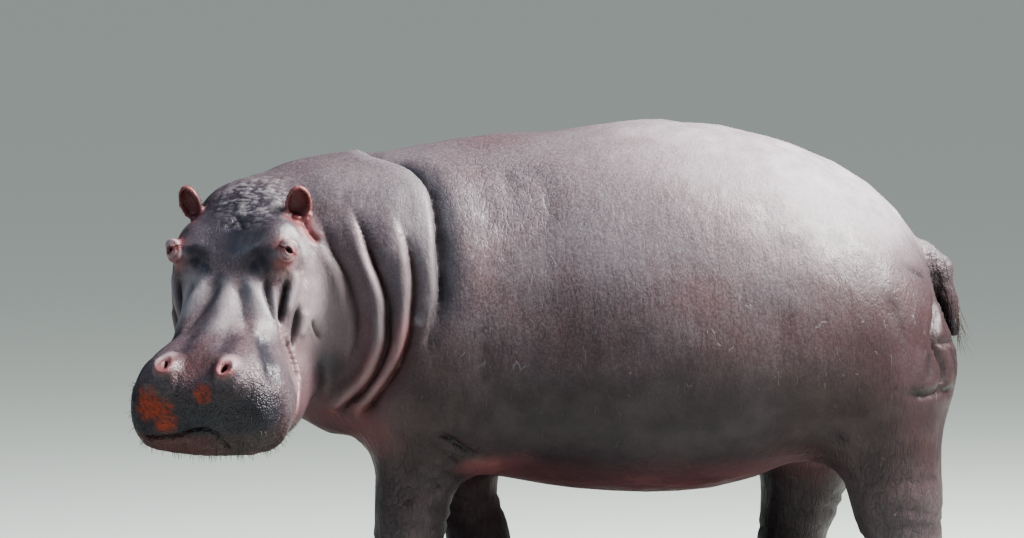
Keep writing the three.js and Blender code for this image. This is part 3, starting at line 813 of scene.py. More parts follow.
# tone also sets the painted shade along each crease.
CHEEK_CREASES = (  # points, depth and width in mm, tone
    (((0.03, 0.117, -0.025), (0.07, 0.116, -0.056), (0.11, 0.13, -0.082), (0.155, 0.145, -0.125)),
     13, 9, 0.9),
    (((0.015, 0.172, -0.045), (0.05, 0.166, -0.072), (0.09, 0.15, -0.115), (0.14, 0.147, -0.148)),
     19, 9, 1),
    (((0.05, 0.198, -0.125), (0.085, 0.189, -0.16), (0.118, 0.18, -0.192), (0.165, 0.179, -0.218)),
     18, 9, 1),
)
# how pale is the painted highlight along each ridge.
CHEEK_RIDGES = (  # points, height and width in mm, how pale
    (((-0.017, 0.193, -0.051), (0.021, 0.187, -0.083), (0.061, 0.178, -0.105), (0.105, 0.165, -0.135)),
     6, 24, 0.6),
    (((0.045, 0.145, -0.045), (0.086, 0.139, -0.079), (0.123, 0.146, -0.103), (0.144, 0.152, -0.146)),
     4, 18, 0.5),
    (((0.052, 0.206, -0.149), (0.068, 0.194, -0.192), (0.109, 0.182, -0.226)), 6, 24, 0.5),
)


def shape_snout(clay):
    """Ridges of muscle from the brow to the muzzle, with valleys between them: painted highlight on the
    ridges, painted shade in the valleys.
    """
    clay.ridge(from_head(SNOUT_MIDDLE), 8 * MM, 46 * MM, pale=0.42)
    for line in on_both(SNOUT_RIDGE):
        clay.ridge(line, 15 * MM, 42 * MM, pale=0.6)
    for line in on_both(SNOUT_VALLEY):
        clay.ridge(line, -12 * MM, 34 * MM)
    # Painted shade in the valleys of the snout.
    clay.band("dark", from_head(SNOUT_SHADE), 36 * MM, 0.62, ends=(0.1, 0.35))
    clay.band("dark", from_head(SNOUT_SHADE_LEFT), 26 * MM, 0.5)
    for line in on_both(NOSTRIL_VALLEY):
        clay.ridge(line, -8 * MM, 40 * MM)
        # Painted shade in the valley along each nostril.
        clay.band("dark", line, 40 * MM, 0.4)
    clay.refresh()
    # Painted highlight along the snout's far edge.
    clay.band("pale", from_head(FAR_EDGE_HIGHLIGHT), 34 * MM, 0.75, rough=0.15)
    for points, depth, width, tone in CHEEK_CREASES:
        for line in on_both(points):
            clay.fold(line, depth * MM, in_mm(width, 4), in_mm(width, 4), ends=(0.3, 0.2), crest_at=15 * MM,
                      tone=tone)
            # Painted shade along each cheek crease.
            clay.band("dark", line, 15 * MM, 0.6 * tone, rough=0.15)
    for points, height, width, pale in CHEEK_RIDGES:
        for line in on_both(points):
            clay.ridge(line, height * MM, width * MM, pale=pale)
    for line in on_both(LIP_VALLEY):
        clay.ridge(line, -14 * MM, 38 * MM)
        # Painted shade in the valley above the lip.
        clay.band("dark", line, 40 * MM, 0.9, rough=0.15)


MOUTH_FRONT = ((0.53, -0.18, -0.189), (0.534, -0.148, -0.188), (0.528, -0.081, -0.186),
               (0.528, -0.025, -0.162), (0.528, 0.018, -0.156), (0.528, 0.04, -0.172),
               (0.527, 0.054, -0.212), (0.52, 0.066, -0.256))
MOUTH_CORNER = ((0.235, 0.199, -0.262), (0.19, 0.182, -0.238), (0.161, 0.166, -0.204), (0.137, 0.156, -0.16))
MOUTH_LEFT = ((0.51, 0.105, -0.275), (0.45, 0.18, -0.29), (0.37, 0.212, -0.285), (0.294, 0.212, -0.272))
MOUTH_RIGHT = ((0.505, 0.205, -0.20), (0.45, 0.215, -0.235), (0.37, 0.212, -0.27), (0.294, 0.205, -0.272))
LIP_STRIP = ((0.30, 0.218, -0.24), (0.229, 0.192, -0.262), (0.184, 0.172, -0.237), (0.154, 0.16, -0.20),
             (0.133, 0.155, -0.148))


def shape_mouth(clay):
    """The lips: a tight line in front, a wrinkled fleshy strip up each cheek."""
    clay.fold(from_head(MOUTH_FRONT), 15 * MM, in_mm(6, 3), in_mm(6, 3), ends=(0.02, 0.05),
              crest_at=14 * MM, wobble=0.08)
    for points, side in ((MOUTH_LEFT, LEFT), (MOUTH_RIGHT, RIGHT)):
        clay.fold(from_head(points + MOUTH_CORNER, side), 15 * MM, in_mm(8, 4), in_mm(8, 3), ends=(0.05, 0.1),
                  pink=0.5, crest_at=16 * MM, wobble=0.1, tone=0.6)
        strip = from_head(LIP_STRIP, side)
        clay.ridge(strip, 7 * MM, 30 * MM, ends=(0.1, 0.2))
        line = clay.on_skin(smooth_path(strip))
        idx, s, t, over, _ = clay.near(line, 45 * MM)
        across = hill(s, 14 * MM) * hill(over, 8 * MM)
        steps = np.sin(t * math.tau * 15 + 3 * soft_noise(clay.co[idx], 20 * MM, 51))
        steps += 0.8 * soft_noise(clay.co[idx], 8 * MM, 52)
        clay.co[idx] += (1.8 * MM * steps * across)[:, None] * clay.out[idx]
        clay.paint_at("pink", idx, 0.42 * across)
        clay.paint_at("pale", idx, 0.30 * across)
        clay.paint_at("crease", idx, 0.4 * across * np.clip(-steps - 0.3, 0, 1))


HOLLOW = ((-0.013, 0.124, 0.021), (0.006, 0.103, 0.00), (0.022, 0.08, -0.012))
BROW_MIDDLE = ((-0.13, 0.0, 0.033), (-0.09, 0.004, 0.03), (-0.04, 0.008, 0.02), (0.02, 0.005, 0))


def shape_brow(clay):
    """The hollow before each eye and the crown's crinkles, with painted shade in the hollows, in the furrows,
    down the brow's middle between the eyes and over the forehead.
    """
    for side in (LEFT, RIGHT):
        clay.mound(from_head((0.004, 0.106, 0.01), side), 28 * MM, -9 * MM)
        # Painted shade in each hollow, reaching up towards the brow's middle.
        for at in HOLLOW:
            clay.paint("dark", from_head(at, side), 22 * MM, 0.92, soft=0.9, rough=0.35)
        clay.band("dark", from_head([(-0.06, 0.02, 0.03), (-0.035, 0.065, 0.03), (0.0, 0.105, 0.01)], side),
                  44 * MM, 0.6, ends=(0.05, 0.1))
        clay.mound(from_head((-0.10, 0.135, 0.03), side), 42 * MM, 7 * MM)
        # Painted highlights on the brow above the eye.
        for at, size, value in (((-0.102, 0.172, 0.014), 24, 0.75), ((-0.085, 0.20, -0.035), 26, 0.65)):
            clay.paint("pale", from_head(at, side), size * MM, value, soft=0.8, rough=0.3)
        line = from_head([(-0.145, 0.0, 0.03), (-0.115, 0.014, 0.03), (-0.09, 0.03, 0.03)], side)
        clay.fold(line, 6 * MM, in_mm(7, 0), in_mm(7, 0), ends=(0.05, 0.3), tone=0.7)
        # Painted shade in the short furrow.
        clay.band("dark", line, 14 * MM, 1.0, ends=(0.0, 0.3), rough=0.1)
    # Painted shade down the middle of the brow and over the forehead.
    clay.band("dark", from_head(BROW_MIDDLE), 58 * MM, 0.95, ends=(0.3, 0.4))
    forehead = clay.spot_share(from_head((-0.14, 0.0, 0.03)), (0.14, 0.17, 0.14), 0.6)
    clay.paint_all("dark", 0.76 * forehead)
    crown = clay.spot_share(from_head((-0.24, 0.02, 0.0)), (0.10, 0.13, 0.10), 0.7)
    ripples = np.abs(soft_noise(clay.head * (1.9, 0.6, 1), 20 * MM, 61))
    ripples += 0.7 * np.abs(soft_noise(clay.head * (1.9, 0.6, 1), 11 * MM, 62))
    clay.co += (6 * MM * crown * (ripples - 0.35))[:, None] * clay.out
    clay.paint_all("rugged", 0.35 * crown)
    clay.paint_all("pale", 0.35 * crown * smooth_step(ripples, 0.3, 0.7))


def shape_cheeks(clay):
    for side in (LEFT, RIGHT):
        # a pink fold behind and below the ear
        behind_ear = from_head([(-0.185, 0.18, -0.01), (-0.15, 0.203, -0.04), (-0.132, 0.23, -0.075)], side)
        clay.fold(behind_ear, 11 * MM, in_mm(9, 3), in_mm(9, 3), crest_at=16 * MM, pink=1.0, tone=0.7)
        clay.band("pink", behind_ear, 34 * MM, 0.85, ends=(0.1, 0.4))
        # the ring of wrinkles at the eye's outer corner, and slanting ones below it
        for k in range(3):
            reach = 0.006 * k
            clay.fold(from_head([(-0.068 - reach, 0.188, 0.000), (-0.056 - reach, 0.205 + reach, -0.026),
                                 (-0.028, 0.208 + reach, -0.050 - reach),
                                 (0.0, 0.192 + reach, -0.052 - reach)], side),
                      3.2 * MM, in_mm(3.5, 0.5), in_mm(3.5, 0.5), crest_at=8 * MM, tone=0.5)
            clay.fold(from_head([(0.012 + 2.5 * reach, 0.150, -0.020 - reach),
                                 (0.027 + 2.5 * reach, 0.175, -0.038 - reach),
                                 (0.027 + 2.5 * reach, 0.195, -0.062 - reach)], side),
                      2.6 * MM, in_mm(3.5, 0.5), in_mm(3.5, 0.5), crest_at=8 * MM, tone=0.4)
    # a healed cut, a dark patch and two scratches on the left cheek
    clay.fold(from_head([(0.048, 0.214, -0.195), (0.06, 0.217, -0.239), (0.072, 0.232, -0.275)]),
              8 * MM, in_mm(5, 3), in_mm(7, 0), ends=(0.3, 0.3), crest_at=11 * MM, tone=0.8)
    clay.paint("dark", from_head((0.104, 0.236, -0.342)), 46 * MM, 0.6, soft=0.9)
    for shift in (0, 0.013):
        scratch = from_head([(-0.001 - shift, 0.206, -0.085), (0.008 - shift, 0.216, -0.123 + shift)])
        clay.band("pale", scratch, 5 * MM, 0.9, rough=0)


def shape_muzzle(clay):
    """Pebbled skin, brown in front, with a soft groove down from between the nostrils."""
    h = clay.head
    on_head = inside_share(clay.co, *box_of("head", "lower_jaw"), 20 * MM)
    muzzle = on_head * smooth_step(h[:, 0], 0.30, 0.44) * smooth_step(-h[:, 2], -0.05, 0.06)
    grain = soft_noise(clay.co, 9 * MM, 71) + 0.7 * soft_noise(clay.co, 15 * MM, 72)
    clay.co += (1.5 * MM * muzzle * grain)[:, None] * clay.out
    clay.paint_all("pebble", muzzle)
    front = on_head * smooth_step(h[:, 0], 0.38, 0.50) * smooth_step(-h[:, 2], -0.03, 0.10)
    clay.paint_all("brown", 0.95 * front)
    # Painted shade on the downward-facing front of the muzzle, above the lower lip.
    upper_lip = front * (1 - smooth_step(-h[:, 2], 0.14, 0.20))
    clay.paint_all("dark", 0.80 * upper_lip)
    lower_lip = front * smooth_step(-h[:, 2], 0.17, 0.20)
    to_far_side = 1 - smooth_step(h[:, 1], -0.08, 0.10)
    clay.paint_all("orange", 0.18 * lower_lip * to_far_side)
    clay.paint("brown", from_head((0.43, -0.01, -0.01)), 80 * MM, 0.85, soft=0.8)
    clay.paint("pink", from_head((0.45, -0.02, -0.01)), 60 * MM, 0.15, soft=0.8)
    clay.fold(from_head([(0.44, -0.055, -0.01), (0.475, -0.05, -0.035), (0.50, -0.055, -0.06)]),
              4 * MM, in_mm(6, 1), in_mm(6, 1), crest_at=12 * MM, tone=0.5)


# ---- Marks: where the skin is pink or stained, with painted shade and painted highlight ---

def mark_ears(clay):
    for side in (LEFT, RIGHT):
        place = np.array(ear_matrix(side).inverted())
        e = clay.co @ place[:3, :3].T + place[:3, 3]
        cup = (np.abs(e / (EAR_SIZE + 6 * MM)) < 1).all(axis=1)
        normal = clay.out @ place[:3, :3].T
        r = np.hypot(e[:, 0] / EAR_SIZE[0], e[:, 2] / EAR_SIZE[2])
        inner = cup * smooth_step(normal[:, 1], -0.1, 0.3)
        clay.paint_all("pink", inner)
        # Painted shade deep in the cup.
        clay.paint_all("crease", 0.8 * inner * (1 - smooth_step(r, 0.6, 1.0)))
        rim = cup * hill(e[:, 1] - 6 * MM, 5 * MM) * smooth_step(r, 0.7, 0.95)
        clay.paint_all("pink", 0.8 * rim)
        outside = cup * (1 - smooth_step(normal[:, 1], -0.5, 0.1)) * smooth_step(-e[:, 2], -0.02, 0.03)
        clay.paint_all("dark", 0.75 * outside)
        stalk = (np.hypot(e[:, 0], e[:, 1] + 15 * MM) < 42 * MM) * hill(e[:, 2] + 0.075, 0.02)
        clay.paint_all("dark", 0.55 * stalk)


STAINS = (  # on the front of the muzzle: forward, left, up, half their size
    (0.498, -0.138, -0.068, 0.044), (0.512, -0.105, -0.088, 0.04), (0.505, -0.155, -0.10, 0.03),
    (0.495, 0.034, -0.036, 0.024), (0.50, 0.02, -0.052, 0.014), (0.528, -0.103, -0.138, 0.027),
    (0.52, -0.07, -0.07, 0.01), (0.48, -0.12, -0.04, 0.014),
)


def mark_skin(clay):
    co = clay.co
    wide = soft_noise(co, 0.13, 81) + 0.5 * soft_noise(co, 0.05, 82)
    for forward, left, up, size in STAINS:
        clay.paint("orange", from_head((forward, left, up)), size, 1.0, soft=0.6, rough=0.4)
    for side in (LEFT, RIGHT):
        clay.paint("pink", from_head((0.0, 0.24, -0.24), side), 0.17, 0.30, soft=0.9)
    throat = (1 - smooth_step(co[:, 2], 0.56, 0.74)) * smooth_step(-co[:, 0], 0.40, 0.56)
    throat *= smooth_step(co[:, 2], 0.42, 0.5) * (1 - smooth_step(clay.head[:, 0], 0.16, 0.34))
    clay.paint_all("pink", throat * (0.38 + 0.2 * wide))
    clay.paint_all("brown", throat * 0.55)
    # painted highlight makes the cheek and the neck's top paler
    clay.paint("pale", (-0.69, -0.28, 0.93), (0.085, 0.12, 0.13), 0.58, soft=0.9, rough=0.2)
    clay.paint("pale", (-0.40, -0.28, 1.12), (0.07, 0.12, 0.16), 0.34, soft=0.9, rough=0.2)
    # dust and painted highlight lighten the upward-facing top of the back and the rump
    up = smooth_step(clay.out[:, 2] + 0.35 * clay.out[:, 0] * (clay.out[:, 0] > 0), 0.45, 0.98)
    up *= smooth_step(co[:, 0], -0.10, 0.45) * smooth_step(co[:, 2], 1.0, 1.2)
    clay.paint_all("pale", up * (0.5 + 0.22 * smooth_step(co[:, 0], 0.4, 0.9)) * (1 + 0.25 * wide))
    # the underside of the belly, the armpit and the inner thighs
    down = smooth_step(-clay.out[:, 2], 0.80, 0.95)
    under = down * smooth_step(co[:, 0], -0.35, -0.2) * (1 - smooth_step(co[:, 0], 0.5, 0.9))
    clay.paint_all("pink", under * (0.62 + 0.2 * wide) * smooth_step(co[:, 2], 0.3, 0.34))
    for middle in ((-0.17, -0.22, 0.447), (-0.10, 0.50, 0.45)):
        clay.paint("pink", middle, (0.09, 0.08, 0.024), 0.85, soft=0.7)
    clay.paint("pink", (-0.19, 0.45, 0.34), (0.14, 0.16, 0.22), 0.40, soft=0.7)
    for x in (0.80, 0.70):
        clay.paint("pink", (x, 0.12, 0.52), (0.18, 0.14, 0.16), 0.6, soft=0.8)
    # painted shade, in brown, below: the flanks, the haunches and the legs
    body = smooth_step(co[:, 0], -0.62, -0.40)
    low = body * (1 - smooth_step(co[:, 2] + 0.05 * wide, 0.55, 1.12))
    legs = 1 - smooth_step(co[:, 2], 0.36, 0.50)
    clay.paint_all("brown", low * (1 - 0.5 * throat) * (1 - 0.4 * legs))
    # Painted shade, darker still, low on the flank.
    flank = body * smooth_step(co[:, 0], -0.30, -0.05) * (1 - smooth_step(co[:, 0], 0.55, 0.8))
    clay.paint_all("dark", 0.30 * flank * (1 - smooth_step(co[:, 2], 0.55, 0.80)))
    haunch = body * smooth_step(co[:, 0], 0.55, 1.0) * (1 - smooth_step(co[:, 2], 0.85, 1.2))
    clay.paint_all("brown", 0.95 * haunch * (1 - 0.4 * legs))
    tail_tip = 1 - smooth_step(co[:, 2], 0.84, 0.90)
    near_tail = inside_share(co, *box_of("tail"), 8 * MM) * smooth_step(co[:, 0], 1.12, 1.15)
    clay.paint_all("crease", 0.9 * near_tail * tail_tip)
    # a scar on the first roll of the neck
    clay.paint("pale", (-0.406, -0.361, 0.887), (0.010, 0.03, 0.020), 1.0, soft=0.3, rough=0.5)
    # where fine wrinkles show most
    wrinkled = (
        ((-0.15, -0.20, 1.27), (0.26, 0.30, 0.15), 0.55),
        ((0.95, 0.14, 1.10), (0.30, 0.6, 0.3), 0.35),
        ((0.10, 0.14, 1.42), (0.9, 0.5, 0.12), 0.25),
    )
    for middle, size, value in wrinkled:
        clay.paint("rugged", middle, size, value, soft=0.7, rough=0.3)
    mark_ears(clay)


def store_marks(clay):
    """Two colour attributes, four marks in each."""
    for name, members in (("tint", MARKS[:4]), ("relief", MARKS[4:])):
        layer = clay.obj.data.attributes.new(name, "FLOAT_COLOR", "POINT")
        rgba = np.ones((len(clay.co), 4))
        for k, mark in enumerate(members):
            rgba[:, k] = clay.marks[mark]
        layer.data.foreach_set("color", rgba.ravel())


fine_places = []
for side in (LEFT, RIGHT):
    fine_places += [(eye_middle(side), 62 * MM), (eye_middle(side), 44 * MM)]
    fine_places += [(from_head(NOSTRIL_AT[side], side), 42 * MM), (from_head(EAR_AT, side), 70 * MM)]
refine(skin, fine_places)
clay = Clay(skin)
clay.relax(np.ones(len(clay.co)), 2)
soften_body(clay)
clay.refresh()
fold_neck(clay)
fold_body(clay)
fold_rump(clay)
tuck_tail(clay)
fold_legs(clay)
fold_elbows(clay)
shape_snout(clay)
shape_brow(clay)
shape_cheeks(clay)
shape_mouth(clay)
shape_muzzle(clay)
for side in (LEFT, RIGHT):
    shape_nostril(clay, side)
    shape_eye(clay, side)
clay.co[:, 2] = np.maximum(clay.co[:, 2], 0.5 * MM)
clay.refresh(1)
mark_skin(clay)
store_marks(clay)
select_only(skin)
bpy.ops.object.shade_smooth()


# ---- Finishes -----------------------------------------------------------------

def add(tree, kind, inputs=None, **settings):
    """A node with its settings, whose sockets take values or other nodes' outputs."""
    node = tree.nodes.new(kind)
    for key, value in settings.items():
        setattr(node, key, value)
    for key, value in (inputs or {}).items():
        if isinstance(value, bpy.types.NodeSocket):
            tree.links.new(value, node.inputs[key])
        else:
            node.inputs[key].default_value = value
    return node


def maths(tree, operation, a, b=0.0, c=0.0, clamp=False):
    return add(tree, "ShaderNodeMath", {0: a, 1: b, 2: c}, operation=operation, use_clamp=clamp).outputs[0]


def vector_maths(tree, operation, inputs):
    return add(tree, "ShaderNodeVectorMath", inputs, operation=operation).outputs[0]


def blend_colours(tree, share, a, b):
    """Colour a where share is 0 and b where it is 1."""
    node = add(tree, "ShaderNodeMix", data_type="RGBA", clamp_factor=True)
    for socket, value in ((node.inputs[0], share), (node.inputs[6], a), (node.inputs[7], b)):
        if isinstance(value, bpy.types.NodeSocket):
            tree.links.new(value, socket)
        else:
            socket.default_value = value if isinstance(value, float) else (*value, 1)
    return node.outputs[2]


def ranged(tree, value, low, high):
    """0 at low and 1 at high, with a soft start and end."""
    return add(tree, "ShaderNodeMapRange", {0: value, 1: low, 2: high},
               interpolation_type="SMOOTHSTEP").outputs[0]


def noise(tree, place, size, detail=3.0, rough=0.55):
    """Soft patches about `size` metres across, around 0.5."""
    return add(tree, "ShaderNodeTexNoise", {"Vector": place, "Scale": 1 / size, "Detail": detail,
                                            "Roughness": rough}).outputs["Fac"]


def stretched(tree, place, scale, turn=(0, 0, 0)):
    return add(tree, "ShaderNodeMapping", {"Vector": place, "Rotation": turn, "Scale": scale}).outputs[0]


def new_group(name, inputs, outputs):
    """An effect that several materials share. inputs and outputs are (name, kind, value) and (name, kind)."""
    tree = bpy.data.node_groups.new(name, "ShaderNodeTree")
    for title, kind, value in inputs:
        socket = tree.interface.new_socket(title, in_out="INPUT", socket_type="NodeSocket" + kind)
        if value is not None:
            socket.default_value = value
    for title, kind in outputs:
        tree.interface.new_socket(title, in_out="OUTPUT", socket_type="NodeSocket" + kind)
    return tree, tree.nodes.new("NodeGroupInput"), tree.nodes.new("NodeGroupOutput")


def make_cracks():
    """Skin's net of fine creases: Height is 1 on the skin and 0 in a crease, Lines the reverse."""
    tree, given, out = new_group("creased_net", (("Vector", "Vector", None), ("Size", "Float", 0.03),
                                                  ("Width", "Float", 0.1)),
                                 (("Height", "Float"), ("Lines", "Float")))
    scale = maths(tree, "DIVIDE", 1.0, given.outputs["Size"])
    drift = add(tree, "ShaderNodeTexNoise", {"Vector": given.outputs["Vector"], "Scale": scale,
                                             "Detail": 2.0})
    push = vector_maths(tree, "SUBTRACT", {0: drift.outputs["Color"], 1: (0.5, 0.5, 0.5)})
    amount = maths(tree, "MULTIPLY", given.outputs["Size"], 0.9)
    push = vector_maths(tree, "SCALE", {0: push, "Scale": amount})
    moved = vector_maths(tree, "ADD", {0: given.outputs["Vector"], 1: push})
    cells = add(tree, "ShaderNodeTexVoronoi", {"Vector": moved, "Scale": scale}, feature="DISTANCE_TO_EDGE")
    height = ranged(tree, cells.outputs["Distance"], 0.0, given.outputs["Width"])
    tree.links.new(height, out.inputs["Height"])
    tree.links.new(maths(tree, "SUBTRACT", 1.0, height), out.inputs["Lines"])
    return tree


def make_mottle():
    """Blotches within blotches, between 0 and 1."""
    tree, given, out = new_group("mottle", (("Vector", "Vector", None), ("Size", "Float", 0.1)),
                                 (("Blotch", "Float"), ("Speck", "Float")))
    scale = maths(tree, "DIVIDE", 1.0, given.outputs["Size"])
    big = add(tree, "ShaderNodeTexNoise", {"Vector": given.outputs["Vector"], "Scale": scale, "Detail": 5.0,
                                           "Roughness": 0.6})
    fine = add(tree, "ShaderNodeTexNoise", {"Vector": given.outputs["Vector"],
                                            "Scale": maths(tree, "MULTIPLY", scale, 9.0), "Detail": 2.0})
    tree.links.new(ranged(tree, big.outputs["Fac"], 0.32, 0.68), out.inputs["Blotch"])
    tree.links.new(ranged(tree, fine.outputs["Fac"], 0.38, 0.66), out.inputs["Speck"])
    return tree


def make_wrinkles():
    """Long wavy lines where a soft field crosses its middle: Lines is 1 on a line and 0 off it."""
    tree, given, out = new_group("wavy_wrinkles", (("Vector", "Vector", None), ("Size", "Float", 0.02),
                                                   ("Width", "Float", 0.03)), (("Lines", "Float"),))
    scale = maths(tree, "DIVIDE", 1.0, given.outputs["Size"])
    field = add(tree, "ShaderNodeTexNoise", {"Vector": given.outputs["Vector"], "Scale": scale, "Detail": 2.5,
                                             "Roughness": 0.5})
    off = maths(tree, "ABSOLUTE", maths(tree, "SUBTRACT", field.outputs["Fac"], 0.5))
    tree.links.new(ranged(tree, off, given.outputs["Width"], 0.0), out.inputs["Lines"])
    return tree


CRACKS = make_cracks()
MOTTLE = make_mottle()
WRINKLES = make_wrinkles()


def use_group(tree, group, **values):
    return add(tree, "ShaderNodeGroup", values, node_tree=group).outputs


def new_material(name, **constants):
    made = bpy.data.materials.new(name)
    made.use_nodes = True
    tree = made.node_tree
    shader = tree.nodes["Principled BSDF"]
    for key, value in constants.items():
        shader.inputs[key.replace("_", " ")].default_value = value
    place = add(tree, "ShaderNodeTexCoord").outputs["Object"]
    return made, tree, shader, place


def attribute(tree, name):
    """The four marks of a colour attribute."""
    node = add(tree, "ShaderNodeAttribute", attribute_name=name)
    parts = add(tree, "ShaderNodeSeparateColor", {0: node.outputs["Color"]}).outputs
    return parts[0], parts[1], parts[2], node.outputs["Alpha"]


# Colours of the hide, linear.
HIDE_GREY = (0.078, 0.066, 0.074)
HIDE_MAUVE = (0.066, 0.041, 0.046)
# The hide's own brown, and painted shade low on the body.
HIDE_BROWN_AND_SHADE = (0.0200, 0.0056, 0.0054)
# Bluish painted shade, and darker blotches.
HIDE_DARK_AND_SHADE = (0.0050, 0.0058, 0.0125)
# Pale skin, dust and painted highlight.
HIDE_PALE_AND_HIGHLIGHT = (0.27, 0.25, 0.265)
FLESH_PINK = (0.225, 0.070, 0.070)
# Pink flesh in painted shade, for pink creases.
FLESH_IN_SHADE = (0.065, 0.006, 0.008)
# Painted shade in creases.
CREASE_SHADE = (0.008, 0.006, 0.008)
STAIN = (0.27, 0.036, 0.007)


def make_hide():
    made, tree, shader, place = new_material("hide", Roughness=0.5, Specular_IOR_Level=0.33)
    pink, dark, orange, brown = attribute(tree, "tint")
    crease, pebble, pale, rugged = attribute(tree, "relief")

    def times(a, b, clamp=False):
        return maths(tree, "MULTIPLY", a, b, clamp=clamp)

    wide = use_group(tree, MOTTLE, Vector=place, Size=0.34)
    patchy = use_group(tree, MOTTLE, Vector=place, Size=0.07)
    upright = stretched(tree, place, (1.0, 1.0, 0.42))
    slanted = stretched(tree, place, (1.0, 0.8, 0.30), (0, math.radians(-36), 0))
    net = use_group(tree, CRACKS, Vector=upright, Size=0.024, Width=0.14)
    scored = stretched(tree, place, (1.0, 0.9, 0.15), (0, math.radians(-36), 0))
    scratch = use_group(tree, CRACKS, Vector=scored, Size=0.05, Width=0.018)
    wavy = use_group(tree, WRINKLES, Vector=slanted, Size=0.045, Width=0.035)["Lines"]
    fine = use_group(tree, WRINKLES, Vector=upright, Size=0.016, Width=0.05)["Lines"]
    where_worn = ranged(tree, noise(tree, place, 0.035), 0.58, 0.64)
    where_wavy = ranged(tree, noise(tree, place, 0.15), 0.40, 0.60)
    wavy = times(wavy, times(where_wavy, maths(tree, "MULTIPLY_ADD", rugged, 0.8, 0.12)))

    # pebbles of the muzzle
    cells = add(tree, "ShaderNodeTexVoronoi", {"Vector": place, "Scale": 1 / 0.0064}, feature="F1")
    dome = ranged(tree, cells.outputs["Distance"], 0.68, 0.05)
    grain = noise(tree, place, 0.005, 4.0, 0.6)

    colour = blend_colours(tree, wide["Blotch"], HIDE_MAUVE, HIDE_GREY)
    # The brown mark: own brown on the muzzle and throat, painted shade low on the body.
    browned = times(brown, maths(tree, "MULTIPLY_ADD", patchy["Blotch"], 0.15, 0.80))
    colour = blend_colours(tree, browned, colour, HIDE_BROWN_AND_SHADE)
    colour = blend_colours(tree, times(patchy["Blotch"], 0.22), colour, HIDE_DARK_AND_SHADE)
    light = maths(tree, "MULTIPLY_ADD", brown, -0.9, 1.0)
    colour = blend_colours(tree, times(times(patchy["Speck"], 0.13), light), colour, HIDE_PALE_AND_HIGHLIGHT)
    colour = blend_colours(tree, times(times(scratch["Lines"], where_worn), 0.20), colour, HIDE_PALE_AND_HIGHLIGHT)
    # Painted shade in the wavy wrinkles and in the net of fine creases.
    colour = blend_colours(tree, times(wavy, 0.35), colour, HIDE_DARK_AND_SHADE)
    colour = blend_colours(tree, times(times(net["Lines"], rugged), 0.25), colour, HIDE_DARK_AND_SHADE)
    # marks
    broken = maths(tree, "MULTIPLY_ADD", patchy["Blotch"], 0.40, 0.72)
    flesh = blend_colours(tree, times(patchy["Speck"], 0.35), FLESH_PINK, HIDE_MAUVE)
    colour = blend_colours(tree, times(pink, broken, clamp=True), colour, flesh)
    # The dark mark: mostly painted shade.
    deep = maths(tree, "SUBTRACT", 1.0, maths(tree, "POWER", maths(tree, "SUBTRACT", 1.0, dark), 1.5))
    colour = blend_colours(tree, times(deep, 0.94), colour, HIDE_DARK_AND_SHADE)
    # The pale mark: painted highlight, dust and scars.
    colour = blend_colours(tree, times(pale, broken, clamp=True), colour, HIDE_PALE_AND_HIGHLIGHT)
    tops = times(times(dome, pebble), ranged(tree, noise(tree, place, 0.012), 0.46, 0.60))
    colour = blend_colours(tree, times(times(tops, light), 0.26), colour, HIDE_PALE_AND_HIGHLIGHT)
    stain = times(orange, ranged(tree, noise(tree, place, 0.014, 5.0, 0.7), 0.33, 0.53))
    colour = blend_colours(tree, times(stain, maths(tree, "MULTIPLY_ADD", dome, 0.40, 0.6)), colour, STAIN)
    # Painted shade in creases, hollows and openings, deep pink where the skin is pink.
    crease_shade = blend_colours(tree, pink, CREASE_SHADE, FLESH_IN_SHADE)
    colour = blend_colours(tree, times(crease, 0.9), colour, crease_shade)
    tree.links.new(colour, shader.inputs["Base Color"])

    rough = maths(tree, "MULTIPLY_ADD", patchy["Blotch"], 0.14, 0.36)
    rough = maths(tree, "MULTIPLY_ADD", orange, 0.2, rough)
    rough = maths(tree, "MULTIPLY_ADD", pink, 0.06, rough)
    rough = maths(tree, "MULTIPLY_ADD", pale, 0.12, rough)
    # dry on the body, damp on the head
    along = add(tree, "ShaderNodeSeparateXYZ", {0: place}).outputs[0]
    rough = maths(tree, "MULTIPLY_ADD", ranged(tree, along, -0.65, -0.25), 0.08, rough)
    tree.links.new(rough, shader.inputs["Roughness"])

    # Height in millimetres.
    height = times(net["Height"], maths(tree, "MULTIPLY_ADD", rugged, 0.9, 0.10))
    height = maths(tree, "MULTIPLY_ADD", wavy, -1.3, height)
    height = maths(tree, "MULTIPLY_ADD", fine, -0.18, height)
    height = maths(tree, "MULTIPLY_ADD", times(scratch["Lines"], where_worn), 0.5, height)
    height = maths(tree, "MULTIPLY_ADD", noise(tree, upright, 0.040, 4.0), 4.0, height)
    height = maths(tree, "MULTIPLY_ADD", grain, 0.7, height)
    height = maths(tree, "MULTIPLY_ADD", times(dome, pebble), 1.7, height)
    bump = add(tree, "ShaderNodeBump", {"Height": height, "Strength": 1.0, "Distance": MM})
    tree.links.new(bump.outputs[0], shader.inputs["Normal"])
    return made


skin.data.materials.clear()
skin.data.materials.append(make_hide())


def finished(piece, slot, *nodes):
    """Rides the root and stands for its CAD nodes. slot is not used."""
    select_only(piece)
    bpy.ops.object.shade_smooth()
    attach(piece, "root")
    if nodes:
        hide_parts(*nodes)


# ---- Eyeballs -------------------------------------------------------------------

